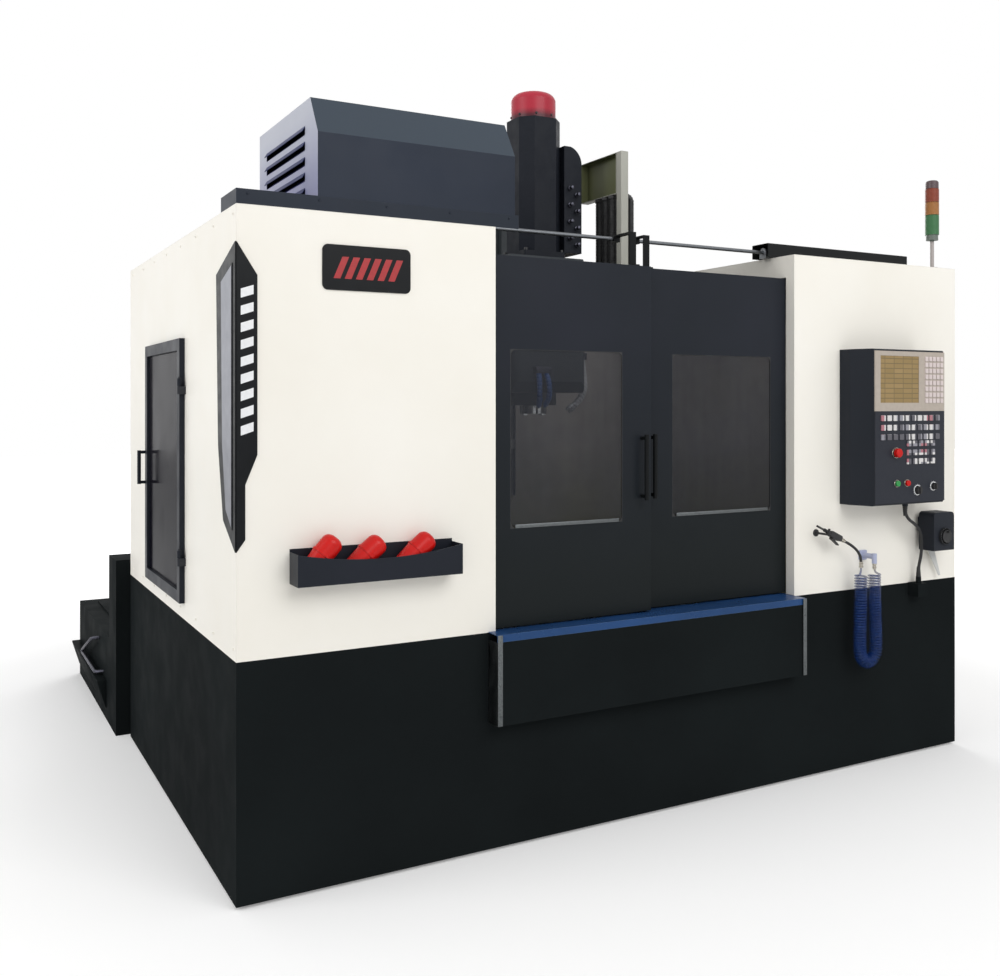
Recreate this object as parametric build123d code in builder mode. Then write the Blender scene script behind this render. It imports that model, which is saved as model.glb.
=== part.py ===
from build123d import *
from math import cos, pi, radians, sin, tan
import os

# A large vertical machining centre, in millimetres. X runs along the front to the right,
# Y runs from the operator to the back, and Z is up. The origin is on the floor, at the middle
# of the whole machine. Depths are counted backwards from the front panels.

# Enclosure
front_width = 3490
side_depth = 2000
seam_z = 808
panel_top_z = 2300
left_cabinet_width = 958
right_cabinet_width = 1049
door_meeting_offset = 21
sheet = 3
skirt_gap = 12

# Outermost reaches, which centre the machine on its origin
side_reach = 57
control_reach = 190
tank_back_depth = 3460

# Doors
door_top_z = 2200
door_foot_gap = 7
door_thickness = 40
door_skin = 3
left_track_depth = 10
track_pitch = 45
door_overlap = 26
window_foot_z = 1182
window_top_z = 1852
left_window_inset = 68
left_window_stile = 144.5
right_window_inset = 86
right_window_stile = 138.5
glass_lap = 15
glass_thickness = 6
rim_depth = 22
door_handle_length = 260
door_handle_z = 1395
door_handle_stand_off = 34
handle_radius = 9

# Door drives on the roof
rod_z = 2326
rod_depth = 165
rod_radius = 8
barrel_radius = 20
barrel_bore_radius = 16
door_stroke = 620
barrel_dead_length = 105
rod_clearance = 0.3
bracket_width = 30
bracket_plate = 6

# Sill and apron under the doors
sill_overhang = 40
sill_reach = 70
sill_depth = 130
sill_lip = 24
apron_foot_z = 480
apron_trim = 5

# Roof covers
plinth_width = 1055
plinth_depth = 200
plinth_height = 50
housing_left = 276
housing_width = 764
housing_depth = 700
housing_height = 353
housing_chamfer_depth = 80
housing_chamfer_height = 135
louvre_count = 5
louvre_pitch = 54
louvre_height = 31
louvre_length = 468
louvre_start_depth = 136
louvre_first_z = 2383
rail_cover_length = 892
rail_cover_width = 103
rail_cover_height = 62

# Bed, saddle and table
spindle_depth = 948
bed_foot_z = 60
bed_flange = 30
bed_top_z = 600
bed_width = 900
bed_flange_width = 1100
bed_front_depth = 250
bed_back_gap = 20
anchor_spacing_x = 1000
anchor_spacing_y = 1500
anchor_hole_radius = 11
foot_spacing_y = 900
y_rail_spacing = 600
rail_width = 45
rail_height = 30
rail_clearance = 0.5
saddle_length = 900
saddle_width = 500
saddle_height = 150
saddle_lift = 6
x_rail_spacing = 360
table_length = 1200
table_width = 600
table_top_z = 980
table_thickness = 105
x_travel = 500
slot_count = 5
slot_pitch = 100
slot_width = 18
slot_depth = 18
slot_head_width = 32
slot_head_depth = 14

# Column and head
column_width = 700
throat_depth = 652
column_depth = 800
column_top_z = 2850
column_wall = 45
recess_width = 160
recess_depth = 80
z_rail_spacing = 380
z_rail_foot_z = 1150
screw_radius = 20
screw_clearance = 0.5
head_width = 400
head_top_z = 2340
carriage_foot_z = 1760
carriage_top_z = 2400
carriage_clearance = 5
nose_foot_z = 1640
spindle_nose_z = 1600
spindle_nose_radius = 64.285
spindle_body_radius = 50
spindle_clearance = 0.5
taper_mouth_radius = 34.925
taper_depth = 101.8
taper_rate = 7 / 24
motor_width = 226
motor_top_z = 3000
cap_radius = 107
cap_height = 131
pack_width = 98
pack_depth = 200
pack_top_z = 2880

# Tool drum and changer arm
drum_z = 1750
drum_x_inset = 660
drum_pitch_radius = 330
drum_radius = 372
pot_count = 24
pot_radius = 36
pot_length = 110
axle_radius = 50
axle_clearance = 0.4
arm_reach = 376
arm_foot_z = 1455
arm_thickness = 40
jaw_radius = 32

# Side door in the left wall
side_door_start = 766
side_door_end = 1494
side_door_foot_z = 870
side_door_top_z = 1905
side_door_thickness = 20
side_door_frame = 46
side_door_lap = 24
hinge_radius = 8
hinge_pin_radius = 4
hinge_clearance = 0.3
hinge_stand_off = 24
hinge_offset = 12

# Control box on the right front panel
control_inset = 774
control_width = 498
control_foot_z = 1198
control_top_z = 1890
control_depth = 160
control_taper = 39
fascia_thickness = 6
knob_radius = 15
button_radius = 13
stem_radius = 5
stem_clearance = 0.4

# Air gun beside the control box
gun_inset = 866
gun_reach = 60
gun_z = 1066

# Tool tray on the left front panel
tray_left = 178
tray_width = 600
tray_foot_z = 1049
tray_height = 106
tray_scoop = 30
tray_reach = 90
tray_sheet = 2.5
cup_base_radius = 30
cup_height = 170

# Cable post over the chamber
post_offset = 346
post_depth = 700
post_side = 42
post_top_z = 2846
arm_box_length = 306
arm_box_height = 196
conduit_radius = 21

# Rear equipment
tank_front_depth = 2076
tank_height = 443
tank_width = 2197
tank_notch_gap = 30
filter_height = 427
filter_depth = 224
cabinet_bed_gap = 11.5
cabinet_right_inset = 90
cabinet_depth = 420
cabinet_foot_z = 250
cabinet_top_z = 2050

# Places worked out from the sizes above
column_front_depth = spindle_depth + throat_depth
column_back_depth = column_front_depth + column_depth
bed_back_depth = column_back_depth + bed_back_gap
tank_notch_depth = bed_back_depth + tank_notch_gap
barrel_length = door_stroke + barrel_dead_length
left_x = -(front_width - side_reach) / 2
right_x = left_x + front_width
front_y = -(tank_back_depth - control_reach) / 2
door_left_x = left_x + left_cabinet_width
door_right_x = right_x - right_cabinet_width
door_mid_x = (door_left_x + door_right_x) / 2 - door_meeting_offset
sill_top_z = seam_z + sheet
door_foot_z = sill_top_z + door_foot_gap
right_track_depth = left_track_depth + track_pitch
spindle_x = door_mid_x
spindle_y = front_y + spindle_depth
rod_y = front_y + rod_depth


def across(depth):
    """Upright plane parallel to the front, at a depth behind it. Its normal faces the operator."""
    return Plane.XZ.offset(-(front_y + depth))


def along(x):
    """Upright plane across the machine. Its normal points to the right."""
    return Plane.YZ.offset(x)


def level(z):
    """Level plane at a height above the floor."""
    return Plane.XY.offset(z)


def span(a0, a1, b0, b1, mode=Mode.ADD):
    """A rectangle in the sketch being drawn, from a0 to a1 and from b0 to b1."""
    with Locations((a0, b0)):
        Rectangle(a1 - a0, b1 - b0, align=(Align.MIN, Align.MIN), mode=mode)


def plate(plane, a0, a1, b0, b1, amount):
    """One flat rectangular sheet on a plane."""
    with BuildPart() as piece:
        with BuildSketch(plane):
            span(a0, a1, b0, b1)
        extrude(amount=amount)
    return piece.part


def group(parts):
    """Separate solids that share a node, touching but not fused."""
    return Compound([solid for part in parts for solid in part.solids()])


def save(part, name):
    """Labels a finished piece and writes it to its own file."""
    part.label = name
    export_step(part, f"parts/{name}.step")


os.makedirs("parts", exist_ok=True)

# Base skirt: front, side and rear sheets below the seam, and the cable socket on the front
skirt_back_y = front_y + side_depth
column_left_x = spindle_x - column_width / 2
column_right_x = spindle_x + column_width / 2
bed_gap = 60
bed_left_x = spindle_x - bed_flange_width / 2 - bed_gap
bed_right_x = spindle_x + bed_flange_width / 2 + bed_gap
socket_inset = 301
socket_x = right_x - socket_inset
socket_y = front_y - 36
socket_top_z = 840
socket_box_half = 30
with BuildPart() as cable_socket:
    with BuildSketch(level(socket_top_z)):
        with Locations((socket_x, socket_y)):
            Circle(12)
    extrude(amount=-30)
    with BuildSketch(level(socket_top_z - 30)):
        span(socket_x - socket_box_half, socket_x + socket_box_half, socket_y - 24, front_y)
    extrude(amount=-60)
save(group([
    plate(across(0), left_x, right_x, skirt_gap, seam_z, -sheet),
    plate(along(left_x), front_y + sheet, skirt_back_y, skirt_gap, seam_z, sheet),
    plate(along(right_x), front_y + sheet, skirt_back_y, skirt_gap, seam_z, -sheet),
    plate(across(side_depth), left_x + sheet, bed_left_x, skirt_gap, seam_z, sheet),
    plate(across(side_depth), bed_right_x, right_x - sheet, skirt_gap, seam_z, sheet),
    cable_socket.part,
]), "base_panels")

# Bed casting: ribbed hollow box with anchor flanges and the two Y guide rails
bed_front_y = front_y + bed_front_depth
bed_back_y = front_y + bed_back_depth
bed_length = bed_back_y - bed_front_y
bed_mid_y = (bed_front_y + bed_back_y) / 2
bed_wall = 50
y_rail_front = front_y + 380
y_rail_back = front_y + 1540
with BuildPart() as bed_casting:
    with BuildSketch(level(bed_foot_z)):
        with Locations((spindle_x, bed_mid_y)):
            RectangleRounded(bed_flange_width, bed_length, 40)
        with Locations((spindle_x, bed_mid_y)):
            with GridLocations(anchor_spacing_x, anchor_spacing_y, 2, 2):
                Circle(anchor_hole_radius, mode=Mode.SUBTRACT)
    extrude(amount=bed_flange)
    with BuildSketch(level(bed_foot_z + bed_flange)):
        with Locations((spindle_x, bed_mid_y)):
            Rectangle(bed_width, bed_length)
    extrude(amount=bed_top_z - bed_foot_z - bed_flange)
    with BuildSketch(level(bed_foot_z)):
        with Locations((spindle_x, bed_mid_y)):
            with GridLocations(0, (bed_length - bed_wall) / 4, 1, 4):
                Rectangle(bed_width - 2 * bed_wall, (bed_length - bed_wall) / 4 - bed_wall)
    extrude(amount=bed_top_z - bed_foot_z - 2 * bed_wall, mode=Mode.SUBTRACT)
    with BuildSketch(level(bed_top_z)):
        for side in (-1, 1):
            rail_x = spindle_x + side * y_rail_spacing / 2
            span(rail_x - rail_width / 2, rail_x + rail_width / 2, y_rail_front, y_rail_back)
    extrude(amount=rail_height)
save(bed_casting.part, "bed_casting")

# Levelling feet: a pad, a stud and a lock nut at six places under the bed
foot_radius = 45
foot_pad = 22
stud_radius = 12
nut_height = 16
foot_inset = 100
with BuildPart() as levelling_feet:
    with BuildSketch(level(0)):
        with Locations((spindle_x, bed_mid_y)):
            with GridLocations(bed_flange_width - foot_inset, foot_spacing_y, 2, 3):
                Circle(foot_radius)
    extrude(amount=foot_pad, taper=8)
    with BuildSketch(level(foot_pad)):
        with Locations((spindle_x, bed_mid_y)):
            with GridLocations(bed_flange_width - foot_inset, foot_spacing_y, 2, 3):
                Circle(stud_radius)
    extrude(amount=bed_foot_z - foot_pad)
    with BuildSketch(level(bed_foot_z - nut_height)):
        with Locations((spindle_x, bed_mid_y)):
            with GridLocations(bed_flange_width - foot_inset, foot_spacing_y, 2, 3):
                RegularPolygon(stud_radius * 1.6, 6)
    extrude(amount=nut_height)
save(levelling_feet.part, "levelling_feet")

# Column: hollow casting with a screw recess, rear windows and the two Z guide rails
column_front_y = front_y + column_front_depth
column_back_y = front_y + column_back_depth
column_mid_y = (column_front_y + recess_depth + column_wall + column_back_y) / 2
column_core_depth = column_back_y - column_wall - (column_front_y + recess_depth + column_wall)
with BuildPart() as column:
    with BuildSketch(level(bed_top_z)):
        span(column_left_x, column_right_x, column_front_y, column_back_y)
    extrude(amount=column_top_z - bed_top_z)
    rear_edges = column.edges().filter_by(Axis.Z).group_by(Axis.Y)[-1]
    fillet(rear_edges, 40)
    with BuildSketch(level(bed_top_z)):
        with Locations((spindle_x, column_mid_y)):
            Rectangle(column_width - 2 * column_wall, column_core_depth)
    extrude(amount=column_top_z - bed_top_z - column_wall, mode=Mode.SUBTRACT)
    with BuildSketch(level(z_rail_foot_z)):
        with Locations((spindle_x, column_front_y + recess_depth / 2)):
            Rectangle(recess_width, recess_depth)
    extrude(amount=column_top_z - z_rail_foot_z, mode=Mode.SUBTRACT)
    with BuildSketch(across(column_back_depth)):
        with Locations((spindle_x, 1100), (spindle_x, 1650), (spindle_x, 2200)):
            RectangleRounded(320, 300, 60)
    extrude(amount=column_wall, mode=Mode.SUBTRACT)
    with BuildSketch(level(z_rail_foot_z)):
        for side in (-1, 1):
            rail_x = spindle_x + side * z_rail_spacing / 2
            span(rail_x - rail_width / 2, rail_x + rail_width / 2,
                 column_front_y - rail_height, column_front_y)
    extrude(amount=column_top_z - z_rail_foot_z)
save(column.part, "column")

# Vertical drive: ball screw in the recess, its bearing bridge and the motor on the column
screw_y = column_front_y + recess_depth / 2
bridge_height = 40
z_motor_side = 130
z_motor_height = 205
with BuildPart() as axis_drives:
    with BuildSketch(level(z_rail_foot_z + bridge_height)):
        with Locations((spindle_x, screw_y)):
            Circle(screw_radius)
    extrude(amount=column_top_z - z_rail_foot_z - bridge_height)
    with BuildSketch(level(z_rail_foot_z)):
        with Locations((spindle_x, screw_y)):
            Rectangle(recess_width, recess_depth)
    extrude(amount=bridge_height)
    with BuildSketch(level(column_top_z)):
        with Locations((spindle_x, screw_y + 20)):
            Rectangle(recess_width + 60, recess_depth + 40)
    extrude(amount=bridge_height)
    with BuildSketch(level(column_top_z + bridge_height)):
        with Locations((spindle_x, screw_y + 20)):
            RectangleRounded(z_motor_side, z_motor_side, 18)
    extrude(amount=z_motor_height)
    with BuildSketch(level(column_top_z + bridge_height + z_motor_height - 60)):
        with Locations((spindle_x, screw_y + 20 + z_motor_side / 2 + 20)):
            RectangleRounded(50, 60, 8)
    extrude(amount=50)
save(axis_drives.part, "axis_drives")

# Front panels: flat sheets either side of the doors, each with a folded return beside them
return_depth = left_track_depth - 5
with BuildPart() as left_front:
    with BuildSketch(across(0)):
        span(left_x, door_left_x, seam_z, panel_top_z - sheet)
    extrude(amount=-sheet)
    with BuildSketch(along(door_left_x)):
        span(front_y + sheet, front_y + return_depth, sill_top_z, panel_top_z - sheet)
    extrude(amount=-sheet)
with BuildPart() as right_front:
    with BuildSketch(across(0)):
        span(door_right_x, right_x, seam_z, panel_top_z - sheet)
    extrude(amount=-sheet)
    with BuildSketch(along(door_right_x)):
        span(front_y + sheet, front_y + right_track_depth - 5, sill_top_z, panel_top_z - sheet)
    extrude(amount=sheet)
save(group([left_front.part, right_front.part]), "front_panels")

# Left side panel: opening for the tool door and the fixed hinge knuckles
hinge_x = left_x - hinge_stand_off
hinge_y = front_y + side_door_start + 2 - hinge_offset
hinge_low_z = side_door_foot_z + 150
hinge_high_z = side_door_top_z - 220
knuckle_length = 30
with BuildPart() as left_side_panel:
    with BuildSketch(along(left_x)):
        span(front_y + sheet, skirt_back_y, seam_z, panel_top_z - sheet)
        span(front_y + side_door_start + side_door_lap, front_y + side_door_end - side_door_lap,
             side_door_foot_z + side_door_lap, side_door_top_z - side_door_lap, mode=Mode.SUBTRACT)
    extrude(amount=sheet)
    for hinge_z in (hinge_low_z, hinge_high_z):
        with BuildSketch(level(hinge_z)):
            with Locations((hinge_x, hinge_y)):
                Circle(hinge_radius)
            span(hinge_x, left_x, hinge_y - hinge_radius, hinge_y)
        extrude(amount=knuckle_length)
        with BuildSketch(level(hinge_z + knuckle_length)):
            with Locations((hinge_x, hinge_y)):
                Circle(hinge_pin_radius)
        extrude(amount=knuckle_length + 8)
save(left_side_panel.part, "left_side_panel")

# Right side, roof and rear sheets, and the high return over the right door
high_return_z = door_top_z + 4
high_return_depth = post_depth + 60
save(group([
    plate(along(right_x), front_y + sheet, skirt_back_y, seam_z, panel_top_z - sheet, -sheet),
    plate(level(panel_top_z), left_x, door_left_x, front_y, skirt_back_y, -sheet),
    plate(level(panel_top_z), door_right_x, right_x, front_y, skirt_back_y, -sheet),
    plate(across(side_depth), left_x + sheet, column_left_x - 10, seam_z, panel_top_z - sheet,
          sheet),
    plate(across(side_depth), column_right_x + 10, right_x - sheet, seam_z,
          panel_top_z - sheet, sheet),
    plate(along(door_right_x), front_y + right_track_depth - 5, front_y + high_return_depth,
          high_return_z, panel_top_z - sheet, sheet),
]), "enclosure_panels")

# Work chamber: low side walls, the shelf under the tool bay, the bay wall and the rear wall
chamber_front_depth = 160
chamber_back_depth = column_front_depth - 40
chamber_foot_z = 600
chamber_left_x = spindle_x - table_length / 2 - x_travel - 30
chamber_right_x = spindle_x + table_length / 2 + x_travel + 30
shelf_z = 1250
bay_wall_x = door_left_x - 15
bay_notch_top_z = 1850
bay_notch_foot_z = 1300
bay_notch_half = 258
chamber_front_y = front_y + chamber_front_depth
chamber_back_y = front_y + chamber_back_depth
head_slot_half = head_width / 2 + 48
beam_gap_x = spindle_x - 556
with BuildPart() as bay_wall:
    with BuildSketch(along(bay_wall_x)):
        span(chamber_front_y, chamber_back_y - sheet, shelf_z + sheet, panel_top_z - sheet)
        span(spindle_y - bay_notch_half, spindle_y + bay_notch_half,
             bay_notch_foot_z, bay_notch_top_z, mode=Mode.SUBTRACT)
    extrude(amount=sheet)
save(group([
    plate(along(chamber_left_x), chamber_front_y, chamber_back_y - sheet, chamber_foot_z,
          shelf_z, -sheet),
    plate(along(chamber_right_x), chamber_front_y, chamber_back_y - sheet, chamber_foot_z,
          door_top_z, sheet),
    plate(level(shelf_z), chamber_left_x - sheet, bay_wall_x + sheet, chamber_front_y,
          chamber_back_y - sheet, sheet),
    plate(across(chamber_back_depth), chamber_left_x - sheet, beam_gap_x, chamber_foot_z,
          door_top_z, sheet),
    plate(across(chamber_back_depth), beam_gap_x, spindle_x + head_slot_half, chamber_foot_z,
          z_rail_foot_z, sheet),
    plate(across(chamber_back_depth), spindle_x + head_slot_half, chamber_right_x + sheet,
          chamber_foot_z, door_top_z, sheet),
]), "chamber_walls")
save(bay_wall.part, "bay_wall")

# Door rail behind the door heads, from side wall to side wall
door_rail_depth = 130
door_rail_foot_z = 2118
door_rail_top_z = 2158
with BuildPart() as door_rail:
    with BuildSketch(across(door_rail_depth)):
        span(left_x + sheet, right_x - sheet, door_rail_foot_z, door_rail_top_z)
    extrude(amount=-20)
save(door_rail.part, "door_rail")

# Door sill: folded sheet over the base skirt, with a dropped front lip
sill_left_x = door_left_x - sill_overhang + 10
sill_right_x = door_right_x - 2
with BuildPart() as door_sill:
    with BuildSketch(along(sill_left_x)) as sill_profile:
        span(front_y - sill_reach, front_y + sill_depth, seam_z, sill_top_z)
        span(front_y - sill_reach, front_y - sill_reach + sheet, seam_z - sill_lip, seam_z)
        span(front_y + sill_depth - sheet, front_y + sill_depth, seam_z - 60, seam_z)
    extrude(amount=sill_right_x - sill_left_x)
    with BuildSketch(level(sill_top_z)):
        span(sill_left_x, door_left_x, front_y, front_y + sill_depth)
    extrude(amount=-(sill_lip + 60), mode=Mode.SUBTRACT)
save(door_sill.part, "door_sill")

# Front apron: shallow folded tray front below the sill, with bright strips on its two corners
apron_top_z = seam_z - sill_lip
with BuildPart() as front_apron:
    with BuildSketch(across(-sill_reach)):
        span(sill_left_x, sill_right_x, apron_foot_z, apron_top_z)
    extrude(amount=-sill_reach)
    with BuildSketch(across(-sill_reach + sheet)):
        span(sill_left_x + sheet, sill_right_x - sheet, apron_foot_z + sheet, apron_top_z)
    extrude(amount=-(sill_reach - sheet), mode=Mode.SUBTRACT)
    with BuildSketch(across(-sill_reach)):
        span(sill_left_x, sill_left_x + 16, apron_foot_z, apron_top_z)
        span(sill_right_x - 16, sill_right_x, apron_foot_z, apron_top_z)
    extrude(amount=apron_trim)
save(front_apron.part, "front_apron")

# Roof covers: the plinth over the left door drive and the channel over the right one
plinth_top_z = panel_top_z + plinth_height
rail_cover_left_x = door_right_x - 44
with BuildPart() as plinth:
    with BuildSketch(level(panel_top_z)):
        span(left_x, left_x + plinth_width, front_y, front_y + plinth_depth)
    extrude(amount=plinth_height)
    with BuildSketch(level(panel_top_z)):
        span(left_x + sheet, left_x + plinth_width - sheet,
             front_y + sheet, front_y + plinth_depth - sheet)
    extrude(amount=plinth_height - sheet, mode=Mode.SUBTRACT)
    with BuildSketch(along(left_x + plinth_width)):
        span(front_y + left_track_depth, rod_y + 30, panel_top_z, plinth_top_z - sheet)
    extrude(amount=-sheet, mode=Mode.SUBTRACT)
with BuildPart() as rail_cover:
    with BuildSketch(along(rail_cover_left_x)):
        with Locations((rod_y, panel_top_z)):
            Rectangle(rail_cover_width, rail_cover_height, align=(Align.CENTER, Align.MIN))
            Rectangle(rail_cover_width - 2 * sheet, rail_cover_height - sheet,
                      align=(Align.CENTER, Align.MIN), mode=Mode.SUBTRACT)
    extrude(amount=rail_cover_length)
    with BuildSketch(along(rail_cover_left_x + rail_cover_length)):
        with Locations((rod_y, panel_top_z)):
            Rectangle(rail_cover_width, rail_cover_height, align=(Align.CENTER, Align.MIN))
    extrude(amount=-sheet)
    chamfer(rail_cover.faces().sort_by(Axis.Z)[-1].edges().filter_by(Axis.X), 2.5)
save(group([plinth.part, rail_cover.part]), "roof_covers")

# Louvred housing on the plinth: chamfered front, five slots with slanted blades on its left
housing_left_x = left_x + housing_left
housing_top_z = plinth_top_z + housing_height
ridge_z = housing_top_z - housing_chamfer_height
louvre_y = front_y + louvre_start_depth


def housing_outline(inset):
    """The housing seen from its side, drawn inwards by a wall."""
    with BuildLine() as outline:
        Polyline(
            (front_y + inset, plinth_top_z),
            (front_y + inset, ridge_z - inset / 2),
            (front_y + housing_chamfer_depth + inset / 2, housing_top_z - inset),
            (front_y + housing_depth - inset, housing_top_z - inset),
            (front_y + housing_depth - inset, panel_top_z),
            (front_y + plinth_depth + inset, panel_top_z),
            (front_y + plinth_depth + inset, plinth_top_z),
            close=True,
        )
    return outline.line


with BuildPart() as louvred_housing:
    with BuildSketch(along(housing_left_x)):
        add(housing_outline(0))
        make_face()
    extrude(amount=housing_width)
    with BuildSketch(along(housing_left_x + sheet)):
        add(housing_outline(sheet))
        make_face()
    extrude(amount=housing_width - 2 * sheet, mode=Mode.SUBTRACT)
    with BuildSketch(along(housing_left_x)):
        with Locations((louvre_y + louvre_length / 2,
                        louvre_first_z + louvre_pitch * (louvre_count - 1) / 2)):
            with GridLocations(0, louvre_pitch, 1, louvre_count):
                RectangleRounded(louvre_length, louvre_height, 6)
    extrude(amount=sheet, mode=Mode.SUBTRACT)
    for row in range(louvre_count):
        foot_z = louvre_first_z + louvre_pitch * row - louvre_height / 2
        with BuildSketch(Plane.XZ.offset(-louvre_y)):
            with BuildLine():
                Polyline(
                    (housing_left_x, foot_z - 2),
                    (housing_left_x + sheet, foot_z - 2),
                    (housing_left_x + 32, foot_z + louvre_height - 4),
                    (housing_left_x + 30, foot_z + louvre_height - 2),
                    (housing_left_x, foot_z + 1),
                    close=True,
                )
            make_face()
        extrude(amount=-louvre_length)
save(louvred_housing.part, "louvred_housing")

# Badge plates: the trim that wraps the front left corner and the name plate
trim_thickness = 4
trim_front = [(0, 2177), (69, 2070), (69, 1481), (29, 1384), (29, 1205), (0, 1165)]
trim_side = [(0, 2177), (253, 2093), (225, 1507), (156, 1256), (0, 1165)]
trim_band = [(32, 2110), (178, 2066), (160, 1512), (112, 1290), (32, 1235)]
plate_left = 291
plate_width = 324
plate_foot_z = 2035
plate_height = 155
with BuildPart() as badge_plates:
    with BuildSketch(across(0)):
        with BuildLine():
            Polyline(*[(left_x + a, z) for a, z in trim_front], close=True)
        make_face()
    extrude(amount=trim_thickness)
    with BuildSketch(along(left_x)):
        with BuildLine():
            Polyline(*[(front_y + a, z) for a, z in trim_side], close=True)
        make_face()
    extrude(amount=-trim_thickness)
    with BuildSketch(along(left_x - trim_thickness)):
        with BuildLine():
            Polyline(*[(front_y + a, z) for a, z in trim_band], close=True)
        make_face()
    extrude(amount=-2)
    with BuildSketch(across(0)):
        with Locations((left_x + plate_left + plate_width / 2, plate_foot_z + plate_height / 2)):
            RectangleRounded(plate_width, plate_height, 20)
    extrude(amount=trim_thickness)
save(badge_plates.part, "badge_plates")

# Tool tray: folded sheet trough with a scooped front edge
tray_left_x = left_x + tray_left
tray_right_x = tray_left_x + tray_width
tray_top_z = tray_foot_z + tray_height
with BuildPart() as tool_tray:
    with BuildSketch(level(tray_foot_z)):
        span(tray_left_x, tray_right_x, front_y - tray_reach, front_y)
    extrude(amount=tray_sheet)
    with BuildSketch(across(0)):
        span(tray_left_x, tray_right_x, tray_foot_z, tray_top_z + 10)
    extrude(amount=tray_sheet)
    with BuildSketch(across(-tray_reach)):
        with BuildLine():
            Line((tray_left_x, tray_top_z), (tray_left_x, tray_foot_z))
            Line((tray_left_x, tray_foot_z), (tray_right_x, tray_foot_z))
            Line((tray_right_x, tray_foot_z), (tray_right_x, tray_top_z))
            ThreePointArc((tray_right_x, tray_top_z),
                          ((tray_left_x + tray_right_x) / 2, tray_top_z - tray_scoop),
                          (tray_left_x, tray_top_z))
        make_face()
    extrude(amount=-tray_sheet)
    for plane_x in (tray_left_x, tray_right_x - tray_sheet):
        with BuildSketch(along(plane_x)):
            span(front_y - tray_reach, front_y, tray_foot_z, tray_top_z)
        extrude(amount=tray_sheet)
save(tool_tray.part, "tool_tray")

# Tool holder cups: three flanged domes that lean to the right in the tray
cup_places = [(211, 42), (357, 51), (543, 51)]
cup_y = front_y - tray_reach / 2
brim_radius = 41
brim_z = 95
dome_radius = 38
cup_seat = 0.3
with BuildPart() as tool_cups:
    for cup_left, tilt in cup_places:
        lean = radians(tilt)
        lift = cup_base_radius * sin(lean) + cup_seat
        cup_plane = Plane(
            origin=(left_x + cup_left, cup_y, tray_foot_z + tray_sheet + lift),
            x_dir=(0, 1, 0),
            z_dir=(sin(lean), 0, cos(lean)),
        )
        with BuildSketch(cup_plane):
            Circle(cup_base_radius)
        with BuildSketch(cup_plane.offset(brim_z)):
            Circle(dome_radius)
        loft()
        with BuildSketch(cup_plane.offset(brim_z)):
            Circle(brim_radius)
        extrude(amount=8)
        with BuildSketch(cup_plane.offset(brim_z + 8)):
            Circle(dome_radius)
        extrude(amount=cup_height - brim_z - 8)
    fillet(tool_cups.edges().filter_by(GeomType.CIRCLE).filter_by(
        lambda edge: abs(edge.radius - dome_radius) < 0.01).sort_by(Axis.Z)[-3:], dome_radius * 0.7)
save(tool_cups.part, "tool_cups")

# Signal tower: foot, pole, base and cap, with three lamp modules between
tower_x = right_x - 88
tower_y = front_y + 60
tower_radius = 32
pole_top_z = 2440
tower_base_top_z = 2466
lamp_heights = [(2466, 96), (2562, 62), (2624, 66)]
tower_cap_z = 2690
lamp_gap = 0.4
with BuildPart() as signal_tower_post:
    with BuildSketch(level(panel_top_z)):
        with Locations((tower_x, tower_y)):
            Circle(26)
    extrude(amount=8)
    with BuildSketch(level(panel_top_z + 8)):
        with Locations((tower_x, tower_y)):
            Circle(9)
    extrude(amount=pole_top_z - panel_top_z - 8)
    with BuildSketch(level(pole_top_z)):
        with Locations((tower_x, tower_y)):
            Circle(tower_radius - 4)
    extrude(amount=tower_base_top_z - pole_top_z)
    with BuildSketch(level(tower_cap_z)):
        with Locations((tower_x, tower_y)):
            Circle(tower_radius - 2)
    extrude(amount=39)
    fillet(signal_tower_post.edges().group_by(Axis.Z)[-1], 12)
save(signal_tower_post.part, "signal_tower_post")

with BuildPart() as signal_lamps:
    for foot_z, height in lamp_heights:
        with BuildSketch(level(foot_z)):
            with Locations((tower_x, tower_y)):
                Circle(tower_radius)
        extrude(amount=height - 4)
        with BuildSketch(level(foot_z + height - 4)):
            with Locations((tower_x, tower_y)):
                Circle(tower_radius - 3)
        extrude(amount=4 - lamp_gap)
save(signal_lamps.part, "signal_lamps")

# Control box: housing that narrows towards its face, with holes for the stems
control_left_x = right_x - control_inset
control_right_x = control_left_x + control_width
face_left_x = control_left_x + control_taper
face_right_x = control_right_x - 9
emergency_place = (face_left_x + 130, control_foot_z + 232)
cycle_start_place = (face_left_x + 135, control_foot_z + 96)
feed_hold_place = (face_left_x + 200, control_foot_z + 96)
feed_knob_place = (face_left_x + 270, control_foot_z + 62)
spindle_knob_place = (face_left_x + 375, control_foot_z + 76)
stem_places = [emergency_place, cycle_start_place, feed_hold_place, feed_knob_place,
               spindle_knob_place]
stem_depth = 30
gland_x = control_left_x + 330
gland_y = front_y - 80
gland_height = 18
with BuildPart() as control_box:
    with BuildSketch(level(control_foot_z)):
        with BuildLine():
            Polyline(
                (control_left_x, front_y),
                (control_left_x, front_y - 60),
                (face_left_x, front_y - control_depth),
                (face_right_x, front_y - control_depth),
                (control_right_x, front_y - 60),
                (control_right_x, front_y),
                close=True,
            )
        make_face()
    extrude(amount=control_top_z - control_foot_z)
    fillet(control_box.edges().filter_by(Axis.X).group_by(Axis.Y)[0], 8)
    with BuildSketch(across(-control_depth)):
        with Locations(*stem_places):
            Circle(stem_radius + stem_clearance)
    extrude(amount=-stem_depth, mode=Mode.SUBTRACT)
    with BuildSketch(level(control_foot_z)):
        with Locations((gland_x, gland_y)):
            RegularPolygon(13, 6)
    extrude(amount=-gland_height)
save(control_box.part, "control_box")

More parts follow.
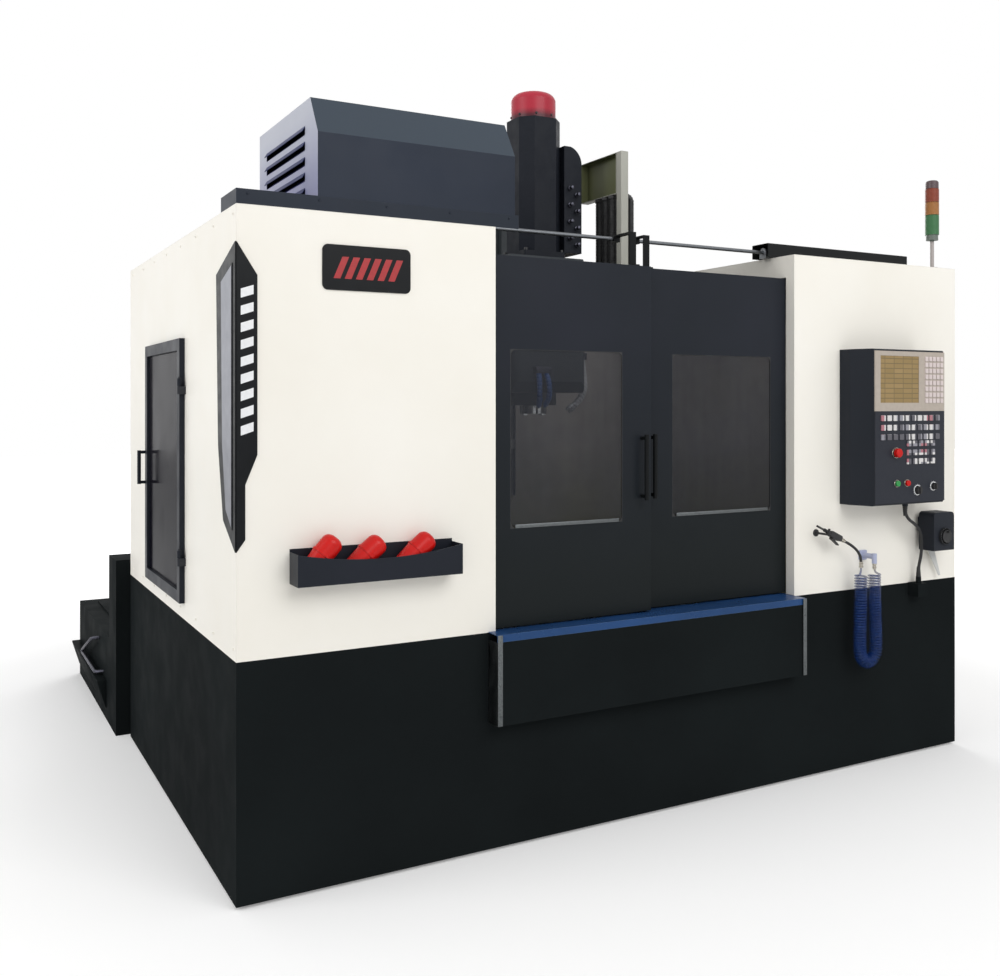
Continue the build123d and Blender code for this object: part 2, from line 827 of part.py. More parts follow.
# Control fascia: bezel with the screen opening and the stem holes
screen_left = 34
screen_width = 246
screen_foot_z = 1652
screen_height = 208
fascia_margin = 9
with BuildPart() as control_fascia:
    with BuildSketch(across(-control_depth)):
        span(face_left_x + 1, face_right_x - 1, control_foot_z + fascia_margin,
             control_top_z - fascia_margin)
        span(face_left_x + screen_left, face_left_x + screen_left + screen_width,
             screen_foot_z, screen_foot_z + screen_height, mode=Mode.SUBTRACT)
        with Locations(*stem_places):
            Circle(stem_radius + stem_clearance, mode=Mode.SUBTRACT)
    extrude(amount=fascia_thickness)
save(control_fascia.part, "control_fascia")

with BuildPart() as control_screen:
    with BuildSketch(across(-control_depth)):
        span(face_left_x + screen_left, face_left_x + screen_left + screen_width,
             screen_foot_z, screen_foot_z + screen_height)
    extrude(amount=fascia_thickness - 2)
save(control_screen.part, "control_screen")

# Control keys: the key block beside the screen and the operator's rows below it
key_height = 4
key_block_x = face_left_x + 378
key_block_z = 1756
row_z = [1584, 1542, 1500]
with BuildPart() as control_keys:
    with BuildSketch(across(-control_depth - fascia_thickness)):
        with Locations((key_block_x, key_block_z)):
            with GridLocations(25, 27, 5, 8):
                RectangleRounded(19, 20, 3)
        for z in row_z:
            with Locations((face_left_x + 224, z)):
                with GridLocations(39, 0, 10, 1):
                    RectangleRounded(27, 25, 3)
        with Locations((face_left_x + 290, control_foot_z + 232)):
            with GridLocations(39, 40, 5, 3):
                RectangleRounded(27, 25, 3)
    extrude(amount=key_height)
save(control_keys.part, "control_keys")


def push_button(place, cap_radius, cap_height, travel):
    """A mushroom cap on a stem that slides in its hole in the box."""
    with BuildPart() as button:
        with BuildSketch(across(-control_depth - fascia_thickness - travel - 1)):
            with Locations(place):
                Circle(cap_radius)
        extrude(amount=cap_height)
        fillet(button.edges().group_by(Axis.Y)[0], cap_height * 0.3)
        with BuildSketch(across(-control_depth - fascia_thickness - travel - 1)):
            with Locations(place):
                Circle(stem_radius)
        extrude(amount=-(fascia_thickness + travel + 1 + stem_depth - travel - 3))
    return button.part


def turn_knob(place, radius, height):
    """A fluted knob with a pointer rib, on a stem that turns in its hole."""
    with BuildPart() as knob:
        with BuildSketch(across(-control_depth - fascia_thickness - 1)):
            with Locations(place):
                Circle(radius)
            with Locations(place):
                with PolarLocations(radius, 12):
                    Circle(radius * 0.12, mode=Mode.SUBTRACT)
        extrude(amount=height * 0.7)
        with BuildSketch(across(-control_depth - fascia_thickness - 1 - height * 0.7)):
            with Locations(place):
                Rectangle(radius * 0.5, radius * 1.5)
        extrude(amount=height * 0.3)
        with BuildSketch(across(-control_depth - fascia_thickness - 1)):
            with Locations(place):
                Circle(stem_radius)
        extrude(amount=-(fascia_thickness + 1 + stem_depth - 3))
    return knob.part


emergency_travel = 6
button_travel = 4
save(push_button(emergency_place, 20, 17, emergency_travel), "emergency_stop_button")
save(push_button(cycle_start_place, button_radius, 8, button_travel), "cycle_start_button")
save(push_button(feed_hold_place, button_radius, 8, button_travel), "feed_hold_button")
save(turn_knob(feed_knob_place, knob_radius + 3, 20), "feed_override_knob")
save(turn_knob(spindle_knob_place, knob_radius, 20), "spindle_override_knob")

# Door drive cylinders: capped barrels on feet, with a gland towards the door
drive_left_end = door_left_x - 3 - barrel_length
drive_right_start = rail_cover_left_x + 14
barrel_cap = 25
piston_gap = 3
drives = [(drive_left_end, drive_left_end + barrel_length - barrel_cap),
          (drive_right_start, drive_right_start)]
with BuildPart() as door_cylinders:
    for start_x, drive_gland_x in drives:
        with BuildSketch(along(start_x)):
            with Locations((rod_y, rod_z)):
                Circle(barrel_radius)
        extrude(amount=barrel_length)
        for cap_x in (start_x, start_x + barrel_length - barrel_cap):
            with BuildSketch(along(cap_x)):
                span(rod_y - barrel_radius, rod_y + barrel_radius, panel_top_z, rod_z)
            extrude(amount=barrel_cap)
        with BuildSketch(along(start_x + barrel_cap)):
            with Locations((rod_y, rod_z)):
                Circle(barrel_bore_radius)
        extrude(amount=barrel_length - 2 * barrel_cap, mode=Mode.SUBTRACT)
        with BuildSketch(along(drive_gland_x)):
            with Locations((rod_y, rod_z)):
                Circle(rod_radius + rod_clearance)
        extrude(amount=barrel_cap, mode=Mode.SUBTRACT)
save(door_cylinders.part, "door_cylinders")


def door_leaf(start_x, end_x, track, window_x, window_width):
    """A folded sheet leaf with a channel round its window."""
    with BuildPart() as leaf:
        with BuildSketch(across(track)):
            span(start_x, end_x, door_foot_z, door_top_z)
            span(window_x, window_x + window_width, window_foot_z, window_top_z,
                 mode=Mode.SUBTRACT)
        extrude(amount=-door_skin)
        with BuildSketch(across(track + door_skin)):
            span(start_x, end_x, door_foot_z, door_top_z)
            span(start_x + door_skin, end_x - door_skin, door_foot_z + door_skin,
                 door_top_z - door_skin, mode=Mode.SUBTRACT)
        extrude(amount=-(door_thickness - door_skin))
        with BuildSketch(across(track + door_skin)):
            lap = glass_lap + 1
            span(window_x - lap - door_skin, window_x + window_width + lap + door_skin,
                 window_foot_z - lap - door_skin, window_top_z + lap + door_skin)
            span(window_x - lap, window_x + window_width + lap,
                 window_foot_z - lap, window_top_z + lap, mode=Mode.SUBTRACT)
        extrude(amount=-rim_depth)
        with BuildSketch(across(track + door_skin)):
            for rib_x in (window_x - 60, window_x + window_width + 40):
                if start_x + 30 < rib_x < end_x - 30:
                    span(rib_x, rib_x + door_skin, door_foot_z + door_skin,
                         door_top_z - door_skin)
        extrude(amount=-rim_depth)
    return leaf.part


def door_glass(track, window_x, window_width):
    """The pane that sits in the channel behind the leaf's skin."""
    with BuildPart() as glass:
        with BuildSketch(across(track + door_skin)):
            span(window_x - glass_lap, window_x + window_width + glass_lap,
                 window_foot_z - glass_lap, window_top_z + glass_lap)
        extrude(amount=-glass_thickness)
    return glass.part


def door_fittings(track, handle_x, bracket_x, rod_way, piston_x, hanger_xs):
    """The handle, the two roller hangers, and the bracket with its drive rod and piston."""
    with BuildPart() as fittings:
        for end in (-1, 1):
            with BuildSketch(across(track)):
                with Locations((handle_x, door_handle_z + end * (door_handle_length / 2 - 14))):
                    Circle(handle_radius * 0.8)
            extrude(amount=door_handle_stand_off)
        with BuildSketch(level(door_handle_z - door_handle_length / 2)):
            with Locations((handle_x, front_y + track - door_handle_stand_off)):
                Circle(handle_radius)
        extrude(amount=door_handle_length)
        hanger_back = door_rail_depth + 20
        for hanger_x in hanger_xs:
            with BuildSketch(across(track + door_thickness)):
                with Locations((hanger_x, door_rail_top_z + 20.3)):
                    Circle(9)
            extrude(amount=-(hanger_back - track - door_thickness))
            with BuildSketch(across(door_rail_depth)):
                with Locations((hanger_x, door_rail_top_z + 20.3)):
                    Circle(20)
            extrude(amount=-20)
        riser_y = front_y + track + door_thickness - bracket_plate - 4
        with BuildSketch(along(bracket_x)):
            span(front_y + track + 6, riser_y + bracket_plate, door_top_z,
                 door_top_z + bracket_plate)
            span(riser_y, riser_y + bracket_plate, door_top_z, rod_z + 13)
            span(riser_y, rod_y + 13, rod_z + 13 - bracket_plate, rod_z + 13)
            span(rod_y - 13, rod_y + 13, rod_z - 13, rod_z + 13)
        extrude(amount=bracket_width)
        rod_x = bracket_x + (bracket_width if rod_way > 0 else 0)
        rod_length = abs(piston_x - rod_x)
        with BuildSketch(along(rod_x)):
            with Locations((rod_y, rod_z)):
                Circle(rod_radius)
        extrude(amount=rod_way * rod_length)
        with BuildSketch(along(rod_x + rod_way * rod_length)):
            with Locations((rod_y, rod_z)):
                Circle(barrel_bore_radius - rod_clearance)
        extrude(amount=rod_way * 16)
    return fittings.part


# Left door on the front track, right door on the rear track
left_door_x = door_left_x - 3
left_door_end_x = door_mid_x - 4.5
right_door_x = left_door_end_x - door_overlap
right_door_end_x = door_right_x + 1
left_window_x = door_left_x + left_window_inset
left_window_width = door_mid_x - left_window_stile - left_window_x
right_window_x = door_mid_x + right_window_stile
right_window_width = door_right_x - right_window_inset - right_window_x
left_handle_x = left_door_end_x - 46
right_handle_x = left_door_end_x + 30
left_bracket_x = left_door_end_x - 81
right_bracket_x = right_door_x + 45
save(door_leaf(left_door_x, left_door_end_x, left_track_depth, left_window_x,
               left_window_width), "left_door")
save(door_glass(left_track_depth, left_window_x, left_window_width), "left_door_window")
save(door_fittings(left_track_depth, left_handle_x, left_bracket_x, -1,
                   drive_left_end + barrel_length - barrel_cap - piston_gap,
                   (left_door_x + 60, left_door_end_x - 50)), "left_door_fittings")
save(door_leaf(right_door_x, right_door_end_x, right_track_depth, right_window_x,
               right_window_width), "right_door")
save(door_glass(right_track_depth, right_window_x, right_window_width), "right_door_window")
save(door_fittings(right_track_depth, right_handle_x, right_bracket_x, 1,
                   drive_right_start + barrel_cap + piston_gap,
                   (right_door_x + 60, right_door_end_x - 60)), "right_door_fittings")

# Side door over the tool bay: framed leaf with moving knuckles and a pull handle
side_leaf_x = left_x - 1
side_leaf_front = front_y + side_door_start + 2
side_leaf_back = front_y + side_door_end - 2
side_leaf_foot = side_door_foot_z + 2
side_leaf_top = side_door_top_z - 2
side_handle_y = side_leaf_back - 14
side_handle_z = 1365
side_handle_length = 150
side_handle_reach = side_reach - side_door_thickness - 1 - 8
knuckle_gap = 1
with BuildPart() as side_door:
    with BuildSketch(along(side_leaf_x)):
        span(side_leaf_front, side_leaf_back, side_leaf_foot, side_leaf_top)
        span(side_leaf_front + side_door_frame, side_leaf_back - side_door_frame,
             side_leaf_foot + side_door_frame, side_leaf_top - side_door_frame,
             mode=Mode.SUBTRACT)
    extrude(amount=-side_door_thickness)
    with BuildSketch(along(side_leaf_x)):
        span(side_leaf_front + side_door_frame - 12, side_leaf_back - side_door_frame + 12,
             side_leaf_foot + side_door_frame - 12, side_leaf_top - side_door_frame + 12)
    extrude(amount=-8, mode=Mode.SUBTRACT)
    for hinge_z in (hinge_low_z, hinge_high_z):
        with BuildSketch(level(hinge_z + knuckle_length + knuckle_gap)):
            with Locations((hinge_x, hinge_y)):
                Circle(hinge_radius)
            span(hinge_x, side_leaf_x - side_door_thickness + 4, hinge_y, side_leaf_front + 1)
            with Locations((hinge_x, hinge_y)):
                Circle(hinge_pin_radius + hinge_clearance, mode=Mode.SUBTRACT)
        extrude(amount=knuckle_length)
    for end in (-1, 1):
        with BuildSketch(along(side_leaf_x - side_door_thickness)):
            with Locations((side_handle_y, side_handle_z + end * (side_handle_length / 2 - 8))):
                Circle(7)
        extrude(amount=-side_handle_reach)
    with BuildSketch(level(side_handle_z - side_handle_length / 2)):
        with Locations((side_leaf_x - side_door_thickness - side_handle_reach, side_handle_y)):
            Circle(8)
    extrude(amount=side_handle_length)
save(side_door.part, "side_door")

with BuildPart() as side_door_window:
    with BuildSketch(along(side_leaf_x)):
        span(side_leaf_front + side_door_frame - 11, side_leaf_back - side_door_frame + 11,
             side_leaf_foot + side_door_frame - 11, side_leaf_top - side_door_frame + 11)
    extrude(amount=-7.7)
save(side_door_window.part, "side_door_window")

# Saddle: casting with grooves over the Y rails and its own pair of X rails on top
saddle_foot_z = bed_top_z + saddle_lift
saddle_top_z = saddle_foot_z + saddle_height + rail_height
x_rail_top_z = saddle_top_z + rail_height
with BuildPart() as saddle:
    with BuildSketch(level(saddle_foot_z)):
        with Locations((spindle_x, spindle_y)):
            RectangleRounded(saddle_length, saddle_width, 30)
    extrude(amount=saddle_top_z - saddle_foot_z)
    with BuildSketch(level(saddle_foot_z)):
        for side in (-1, 1):
            rail_x = spindle_x + side * y_rail_spacing / 2
            half = rail_width / 2 + rail_clearance
            span(rail_x - half, rail_x + half, spindle_y - saddle_width / 2,
                 spindle_y + saddle_width / 2)
    extrude(amount=rail_height - saddle_lift + rail_clearance, mode=Mode.SUBTRACT)
    with BuildSketch(level(saddle_top_z)):
        for side in (-1, 1):
            rail_y = spindle_y + side * x_rail_spacing / 2
            span(spindle_x - saddle_length / 2, spindle_x + saddle_length / 2,
                 rail_y - rail_width / 2, rail_y + rail_width / 2)
    extrude(amount=rail_height)
save(saddle.part, "saddle")

# Table: five T-slots along its length, a coolant gutter and skirts that straddle the X rails
table_foot_z = saddle_top_z + saddle_lift
table_plate_foot_z = table_top_z - table_thickness
gutter = 18
with BuildPart() as table:
    with BuildSketch(along(spindle_x - table_length / 2)):
        span(spindle_y - table_width / 2, spindle_y + table_width / 2,
             table_plate_foot_z, table_top_z)
        span(spindle_y - saddle_width / 2, spindle_y + saddle_width / 2,
             table_foot_z, table_plate_foot_z)
        for side in (-1, 1):
            rail_y = spindle_y + side * x_rail_spacing / 2
            half = rail_width / 2 + rail_clearance
            span(rail_y - half, rail_y + half, table_foot_z, x_rail_top_z + rail_clearance,
                 mode=Mode.SUBTRACT)
        for slot in range(slot_count):
            slot_y = spindle_y + slot_pitch * (slot - (slot_count - 1) / 2)
            span(slot_y - slot_width / 2, slot_y + slot_width / 2,
                 table_top_z - slot_depth, table_top_z, mode=Mode.SUBTRACT)
            span(slot_y - slot_head_width / 2, slot_y + slot_head_width / 2,
                 table_top_z - slot_depth - slot_head_depth, table_top_z - slot_depth,
                 mode=Mode.SUBTRACT)
    extrude(amount=table_length)
save(table.part, "table")

# Spindle head: side profile with the nose, guide blocks on the Z rails and the screw nut
head_left_x = spindle_x - head_width / 2
rail_face_y = column_front_y - rail_height
nut_foot_z = 2000
nut_height_z = 100
cartridge_radius = 110
with BuildPart() as spindle_head:
    with BuildSketch(along(head_left_x)):
        with BuildLine():
            Polyline(
                (rail_face_y - carriage_clearance, carriage_foot_z),
                (column_front_y - 300, carriage_foot_z),
                (spindle_y + 172, nose_foot_z + 60),
                (spindle_y - 128, nose_foot_z + 60),
                (spindle_y - 168, nose_foot_z + 110),
                (spindle_y - 168, head_top_z - 40),
                (spindle_y - 128, head_top_z),
                (column_front_y - 350, head_top_z),
                (column_front_y - 290, carriage_top_z),
                (rail_face_y - carriage_clearance, carriage_top_z),
                close=True,
            )
        make_face()
    extrude(amount=head_width)
    fillet(spindle_head.edges().filter_by(Axis.Z).group_by(Axis.Y)[0], 40)
    with BuildSketch(level(carriage_foot_z)):
        for side in (-1, 1):
            rail_x = spindle_x + side * z_rail_spacing / 2
            half = rail_width / 2 + rail_clearance
            outer = spindle_x + side * (head_width / 2 + 38)
            inner = rail_x - side * 60
            span(min(inner, outer), max(inner, outer), rail_face_y - 60,
                 column_front_y - carriage_clearance)
            span(rail_x - half, rail_x + half, rail_face_y - rail_clearance, column_front_y,
                 mode=Mode.SUBTRACT)
    extrude(amount=carriage_top_z - carriage_foot_z)
    with BuildSketch(level(nut_foot_z)):
        with Locations((spindle_x, screw_y)):
            Rectangle(recess_width - 40, recess_depth - 20)
        span(spindle_x - 40, spindle_x + 40, rail_face_y - 20, screw_y - 10)
        with Locations((spindle_x, screw_y)):
            Circle(screw_radius + screw_clearance, mode=Mode.SUBTRACT)
    extrude(amount=nut_height_z)
    with BuildSketch(level(nose_foot_z)):
        with Locations((spindle_x, spindle_y)):
            Circle(cartridge_radius)
    extrude(amount=60)
    with BuildSketch(level(nose_foot_z)):
        with Locations((spindle_x, spindle_y)):
            Circle(spindle_body_radius + spindle_clearance)
    extrude(amount=270, mode=Mode.SUBTRACT)
save(spindle_head.part, "spindle_head")

# Spindle motor: eight-sided body on the head, with cooling ribs near its top
with BuildPart() as spindle_motor:
    with BuildSketch(level(head_top_z)):
        with Locations((spindle_x, spindle_y)):
            Rectangle(motor_width, motor_width)
        chamfer(vertices(), motor_width * 0.24)
    extrude(amount=motor_top_z - head_top_z)
    with BuildSketch(level(head_top_z)):
        with Locations((spindle_x, spindle_y)):
            RectangleRounded(motor_width, motor_width, 12)
    extrude(amount=28)
save(spindle_motor.part, "spindle_motor")

with BuildPart() as motor_cap:
    with BuildSketch(Plane.XZ.offset(-spindle_y)):
        with BuildLine():
            Line((spindle_x, motor_top_z), (spindle_x + cap_radius, motor_top_z))
            Line((spindle_x + cap_radius, motor_top_z),
                 (spindle_x + cap_radius, motor_top_z + cap_height - 34))
            ThreePointArc((spindle_x + cap_radius, motor_top_z + cap_height - 34),
                          (spindle_x + cap_radius - 12, motor_top_z + cap_height - 12),
                          (spindle_x + cap_radius - 38, motor_top_z + cap_height))
            Line((spindle_x + cap_radius - 38, motor_top_z + cap_height),
                 (spindle_x, motor_top_z + cap_height))
            Line((spindle_x, motor_top_z + cap_height), (spindle_x, motor_top_z))
        make_face()
    revolve(axis=Axis((spindle_x, spindle_y, 0), (0, 0, 1)))
save(motor_cap.part, "motor_cap")

# Head pack: rounded valve and hose pack on the motor's right side
pack_left_x = spindle_x + motor_width / 2
with BuildPart() as head_pack:
    with BuildSketch(Plane.XZ.offset(-(spindle_y - pack_depth / 2))):
        with BuildLine():
            Line((pack_left_x, head_top_z + 30), (pack_left_x, pack_top_z))
            Line((pack_left_x, pack_top_z), (pack_left_x + pack_width - 62, pack_top_z))
            ThreePointArc((pack_left_x + pack_width - 62, pack_top_z),
                          (pack_left_x + pack_width - 20, pack_top_z - 27),
                          (pack_left_x + pack_width, pack_top_z - 92))
            Line((pack_left_x + pack_width, pack_top_z - 92),
                 (pack_left_x + pack_width, head_top_z + 30))
            Line((pack_left_x + pack_width, head_top_z + 30), (pack_left_x, head_top_z + 30))
        make_face()
    extrude(amount=-pack_depth)
save(head_pack.part, "head_pack")

# Spindle: nose flange with drive keys, tapered tool socket and the shaft inside the head
shaft_top_z = nose_foot_z + 262
drawbar_radius = 14
nose_gap = 1.5
key_width = 25
key_reach = 8
taper_end_radius = taper_mouth_radius - taper_depth * taper_rate / 2
with BuildPart() as spindle:
    with BuildSketch(Plane.XZ.offset(-spindle_y)):
        with BuildLine():
            Polyline(
                (spindle_x + taper_mouth_radius, spindle_nose_z),
                (spindle_x + spindle_nose_radius, spindle_nose_z),
                (spindle_x + spindle_nose_radius, nose_foot_z - nose_gap),
                (spindle_x + spindle_body_radius, nose_foot_z - nose_gap),
                (spindle_x + spindle_body_radius, shaft_top_z),
                (spindle_x + drawbar_radius, shaft_top_z),
                (spindle_x + drawbar_radius, spindle_nose_z + taper_depth),
                (spindle_x + taper_end_radius, spindle_nose_z + taper_depth),
                close=True,
            )
        make_face()
    revolve(axis=Axis((spindle_x, spindle_y, 0), (0, 0, 1)))
    with BuildSketch(level(spindle_nose_z)):
        for side in (-1, 1):
            key_x = spindle_x + side * (taper_mouth_radius + 15)
            with Locations((key_x, spindle_y)):
                Rectangle(22, key_width)
    extrude(amount=-key_reach)
save(spindle.part, "spindle")

# Tool drum: plate with pots and tool holders round its rim, on a hub
drum_x = left_x + drum_x_inset
drum_plate = 20
hub_radius = 95
hub_length = 150
holder_length = 60
with BuildPart() as tool_drum:
    with BuildSketch(along(drum_x)):
        with Locations((spindle_y, drum_z)):
            Circle(drum_radius)
        with Locations((spindle_y, drum_z)):
            with PolarLocations(drum_radius * 0.55, 6):
                Circle(62, mode=Mode.SUBTRACT)
    extrude(amount=drum_plate)
    with BuildSketch(along(drum_x)):
        with Locations((spindle_y, drum_z)):
            Circle(hub_radius)
    extrude(amount=hub_length)
    with BuildSketch(along(drum_x + drum_plate)):
        with Locations((spindle_y, drum_z)):
            with PolarLocations(drum_pitch_radius, pot_count):
                Circle(pot_radius)
    extrude(amount=pot_length)
    with BuildSketch(along(drum_x + drum_plate + pot_length)):
        with Locations((spindle_y, drum_z)):
            with PolarLocations(drum_pitch_radius, pot_count):
                Circle(pot_radius * 0.62)
    extrude(amount=holder_length)
    with BuildSketch(along(drum_x)):
        with Locations((spindle_y, drum_z)):
            Circle(axle_radius + axle_clearance)
    extrude(amount=hub_length, mode=Mode.SUBTRACT)
save(tool_drum.part, "tool_drum")

# Changer frame: beam on the column, arm gearbox and the drum's axle
gearbox_x = spindle_x - arm_reach
gearbox_half = 118
gearbox_front = spindle_y - 120
gearbox_foot_z = 1700
gearbox_top_z = 2150
arm_shaft_radius = 30
arm_shaft_clearance = 0.4
arm_top_z = arm_foot_z + arm_thickness
axle_collar = 12
with BuildPart() as changer_frame:
    with BuildSketch(level(gearbox_foot_z)):
        span(gearbox_x - gearbox_half, gearbox_x + gearbox_half, gearbox_front, spindle_y + 152)
    extrude(amount=gearbox_top_z - gearbox_foot_z)
    fillet(changer_frame.edges().filter_by(Axis.Z), 24)
    with BuildSketch(level(gearbox_foot_z + 60)):
        span(gearbox_x - gearbox_half + 30, gearbox_x + gearbox_half,
             spindle_y + 120, column_front_y)
    extrude(amount=gearbox_top_z - gearbox_foot_z - 120)
    with BuildSketch(along(drum_x - axle_collar)):
        with Locations((spindle_y, drum_z)):
            Circle(axle_radius)
    extrude(amount=gearbox_x - gearbox_half + 10 - drum_x + axle_collar)
    with BuildSketch(along(drum_x - axle_collar - 1)):
        with Locations((spindle_y, drum_z)):
            Circle(axle_radius + 18)
    extrude(amount=axle_collar)
    with BuildSketch(level(gearbox_foot_z)):
        with Locations((gearbox_x, spindle_y)):
            Circle(arm_shaft_radius + arm_shaft_clearance)
    extrude(amount=120, mode=Mode.SUBTRACT)
save(changer_frame.part, "changer_frame")

# Changer arm: two open jaws on a hub and shaft, parked along the depth of the machine
arm_hub_radius = 62
jaw_outer = 54
with BuildPart() as changer_arm:
    with BuildSketch(level(arm_foot_z)):
        with Locations((gearbox_x, spindle_y)):
            Circle(arm_hub_radius)
            Rectangle(70, 2 * arm_reach)
        for end in (-1, 1):
            with Locations((gearbox_x, spindle_y + end * arm_reach)):
                Circle(jaw_outer)
        for end in (-1, 1):
            with Locations((gearbox_x, spindle_y + end * arm_reach)):
                Circle(jaw_radius, mode=Mode.SUBTRACT)
            with Locations((gearbox_x + end * jaw_outer / 2, spindle_y + end * arm_reach)):
                Rectangle(jaw_outer, jaw_radius * 2 - 8, mode=Mode.SUBTRACT)
    extrude(amount=arm_thickness)
    with BuildSketch(level(arm_top_z)):
        with Locations((gearbox_x, spindle_y)):
            Circle(arm_shaft_radius)
    extrude(amount=gearbox_foot_z + 110 - arm_top_z)
save(changer_arm.part, "changer_arm")

# Cable post: roof beam, gland shelf, square post and the open channel box at its top
post_x = spindle_x + post_offset
post_y = front_y + post_depth
beam_foot_z = high_return_z
beam_top_z = beam_foot_z + post_side
arm_box_foot_z = post_top_z - arm_box_height
arm_box_back_y = post_y + post_side / 2 + arm_box_length
with BuildPart() as cable_post:
    with BuildSketch(along(bay_wall_x + sheet)):
        with Locations((post_y, beam_foot_z)):
            Rectangle(post_side, post_side, align=(Align.CENTER, Align.MIN))
    extrude(amount=door_right_x - bay_wall_x - sheet)
    with BuildSketch(level(beam_top_z - 6)):
        span(post_x - 40, post_x + 84, post_y + post_side / 2, post_y + 262)
    extrude(amount=6)
    with BuildSketch(level(beam_top_z)):
        with Locations((post_x, post_y)):
            RectangleRounded(post_side, post_side, 5)
    extrude(amount=post_top_z - beam_top_z)
    with BuildSketch(along(post_x - post_side / 2)):
        span(post_y + post_side / 2, arm_box_back_y, arm_box_foot_z, post_top_z)
    extrude(amount=post_side)
    with BuildSketch(along(post_x - post_side / 2)):
        span(post_y + post_side / 2 + sheet, arm_box_back_y - sheet,
             arm_box_foot_z + sheet, post_top_z - sheet)
    extrude(amount=post_side - sheet, mode=Mode.SUBTRACT)
save(cable_post.part, "cable_post")

# Conduits: hoses that drop from the channel box to the gland shelf, with a nut at each end
conduit_nut = 16
conduit_rows = [(0, 78), (0, 134), (0, 190)]
with BuildPart() as straight_conduits:
    for offset_x, offset_y in conduit_rows:
        for nut_z in (beam_top_z, arm_box_foot_z - conduit_nut):
            with BuildSketch(level(nut_z)):
                with Locations((post_x + offset_x, post_y + offset_y)):
                    RegularPolygon(conduit_radius * 1.25, 6)
            extrude(amount=conduit_nut)
        with BuildSketch(level(beam_top_z + conduit_nut)):
            with Locations((post_x + offset_x, post_y + offset_y)):
                Circle(conduit_radius)
        extrude(amount=arm_box_foot_z - beam_top_z - 2 * conduit_nut)

# One more conduit climbs beside the post and bends into its right face
bent_radius = 16
bent_x = post_x + post_side / 2 + 26
bent_top_z = 2635
bent_start = (bent_x, post_y, beam_top_z + conduit_nut)
bent_end = (post_x + post_side / 2, post_y, bent_top_z)
with BuildPart() as bent_conduit:
    with BuildLine():
        FilletPolyline(bent_start, (bent_x, post_y, bent_top_z), bent_end, radius=24)
    with BuildSketch(level(beam_top_z + conduit_nut)):
        with Locations((bent_x, post_y)):
            Circle(bent_radius)
    sweep()
    with BuildSketch(level(beam_top_z)):
        with Locations((bent_x, post_y)):
            RegularPolygon(bent_radius * 1.5, 6)
    extrude(amount=conduit_nut)
save(group([straight_conduits.part, bent_conduit.part]), "cable_conduits")

# Handwheel pendant: box on its bracket, with the strap that runs down to the base
pendant_inset = 285
pendant_left_x = right_x - pendant_inset
pendant_width = 138
pendant_foot_z = 965
pendant_top_z = 1143
pendant_front = 110
pendant_back = 25
dial_place = (pendant_left_x + pendant_width / 2, 1032)
with BuildPart() as handwheel_box:
    with BuildSketch(across(-pendant_back)):
        span(pendant_left_x, pendant_left_x + pendant_width, pendant_foot_z, pendant_top_z)
        with Locations(dial_place):
            Circle(stem_radius + stem_clearance, mode=Mode.SUBTRACT)
    extrude(amount=pendant_front - pendant_back)
    fillet(handwheel_box.edges().filter_by(Axis.Y).group_by(Axis.Z)[-1], 20)
    with BuildSketch(across(0)):
        with Locations((pendant_left_x + pendant_width / 2, pendant_top_z - 60)):
            Rectangle(90, 60)
    extrude(amount=pendant_back)
    with BuildSketch(across(-pendant_back)):
        with BuildLine():
            Polyline(
                (pendant_left_x + 52, pendant_foot_z + 10),
                (pendant_left_x + 100, pendant_foot_z + 10),
                (pendant_left_x + 150, sill_top_z + 20),
                (pendant_left_x + 138, sill_top_z + 20),
                close=True,
            )
        make_face()
    extrude(amount=-sheet)
save(handwheel_box.part, "handwheel_box")

with BuildPart() as handwheel_dial:
    with BuildSketch(across(-pendant_front - 1)):
        with Locations(dial_place):
            Circle(38)
        with Locations(dial_place):
            with PolarLocations(38, 24):
                Circle(2.2, mode=Mode.SUBTRACT)
    extrude(amount=12)
    with BuildSketch(across(-pendant_front - 13)):
        with Locations(dial_place):
            Circle(30)
    extrude(amount=5)
    with BuildSketch(across(-pendant_front - 18)):
        with Locations((dial_place[0], dial_place[1] + 22)):
            Circle(5)
    extrude(amount=14)
    with BuildSketch(across(-pendant_front - 1)):
        with Locations(dial_place):
            Circle(stem_radius)
    extrude(amount=-30)
save(handwheel_dial.part, "handwheel_dial")


def corner_radii(points):
    """Each corner's radius: 0.45 of its shorter run over the tangent of half its turn."""
    radii = []
    for before, here, after in zip(points, points[1:], points[2:]):
        run_in = Vector(*here) - Vector(*before)
        run_out = Vector(*after) - Vector(*here)
        turn = radians(run_in.get_angle(run_out))
        radii.append(0.45 * min(run_in.length, run_out.length) / tan(turn / 2))
    return radii


def tube(points, radius):
    """A round tube along straight runs joined by tangent arcs."""
    radii = corner_radii(points)
    print("radii", [round(r) for r in radii], "smallest in diameters",
          round(min(radii) / radius / 2, 1))
    with BuildPart() as cord:
        with BuildLine() as route:
            FilletPolyline(*points, radius=radii)
        start = Plane(origin=points[0], z_dir=Vector(*points[1]) - Vector(*points[0]))
        with BuildSketch(start):
            Circle(radius)
        sweep(path=route.line)
    expected = pi * radius ** 2 * route.wire().length
    print("volume over section times length", round(cord.part.volume / expected, 4))
    return cord.part


# Control cable: from the gland under the control box to the socket on the base skirt
cable_radius = 7
cable_points = [
    (gland_x, gland_y, control_foot_z - gland_height),
    (gland_x, gland_y, 1150),
    (socket_x - 121, front_y - 79, 1119),
    (socket_x - 81, front_y - 76, 1098),
    (socket_x - 43, front_y - 72, 1074),
    (socket_x - 19, front_y - 67, 1036),
    (socket_x - 8, front_y - 61, 988),
    (socket_x - 1, front_y - 51, 936),
    (socket_x, socket_y, 886),
    (socket_x, socket_y, socket_top_z),
]
save(tube(cable_points, cable_radius), "control_cable")

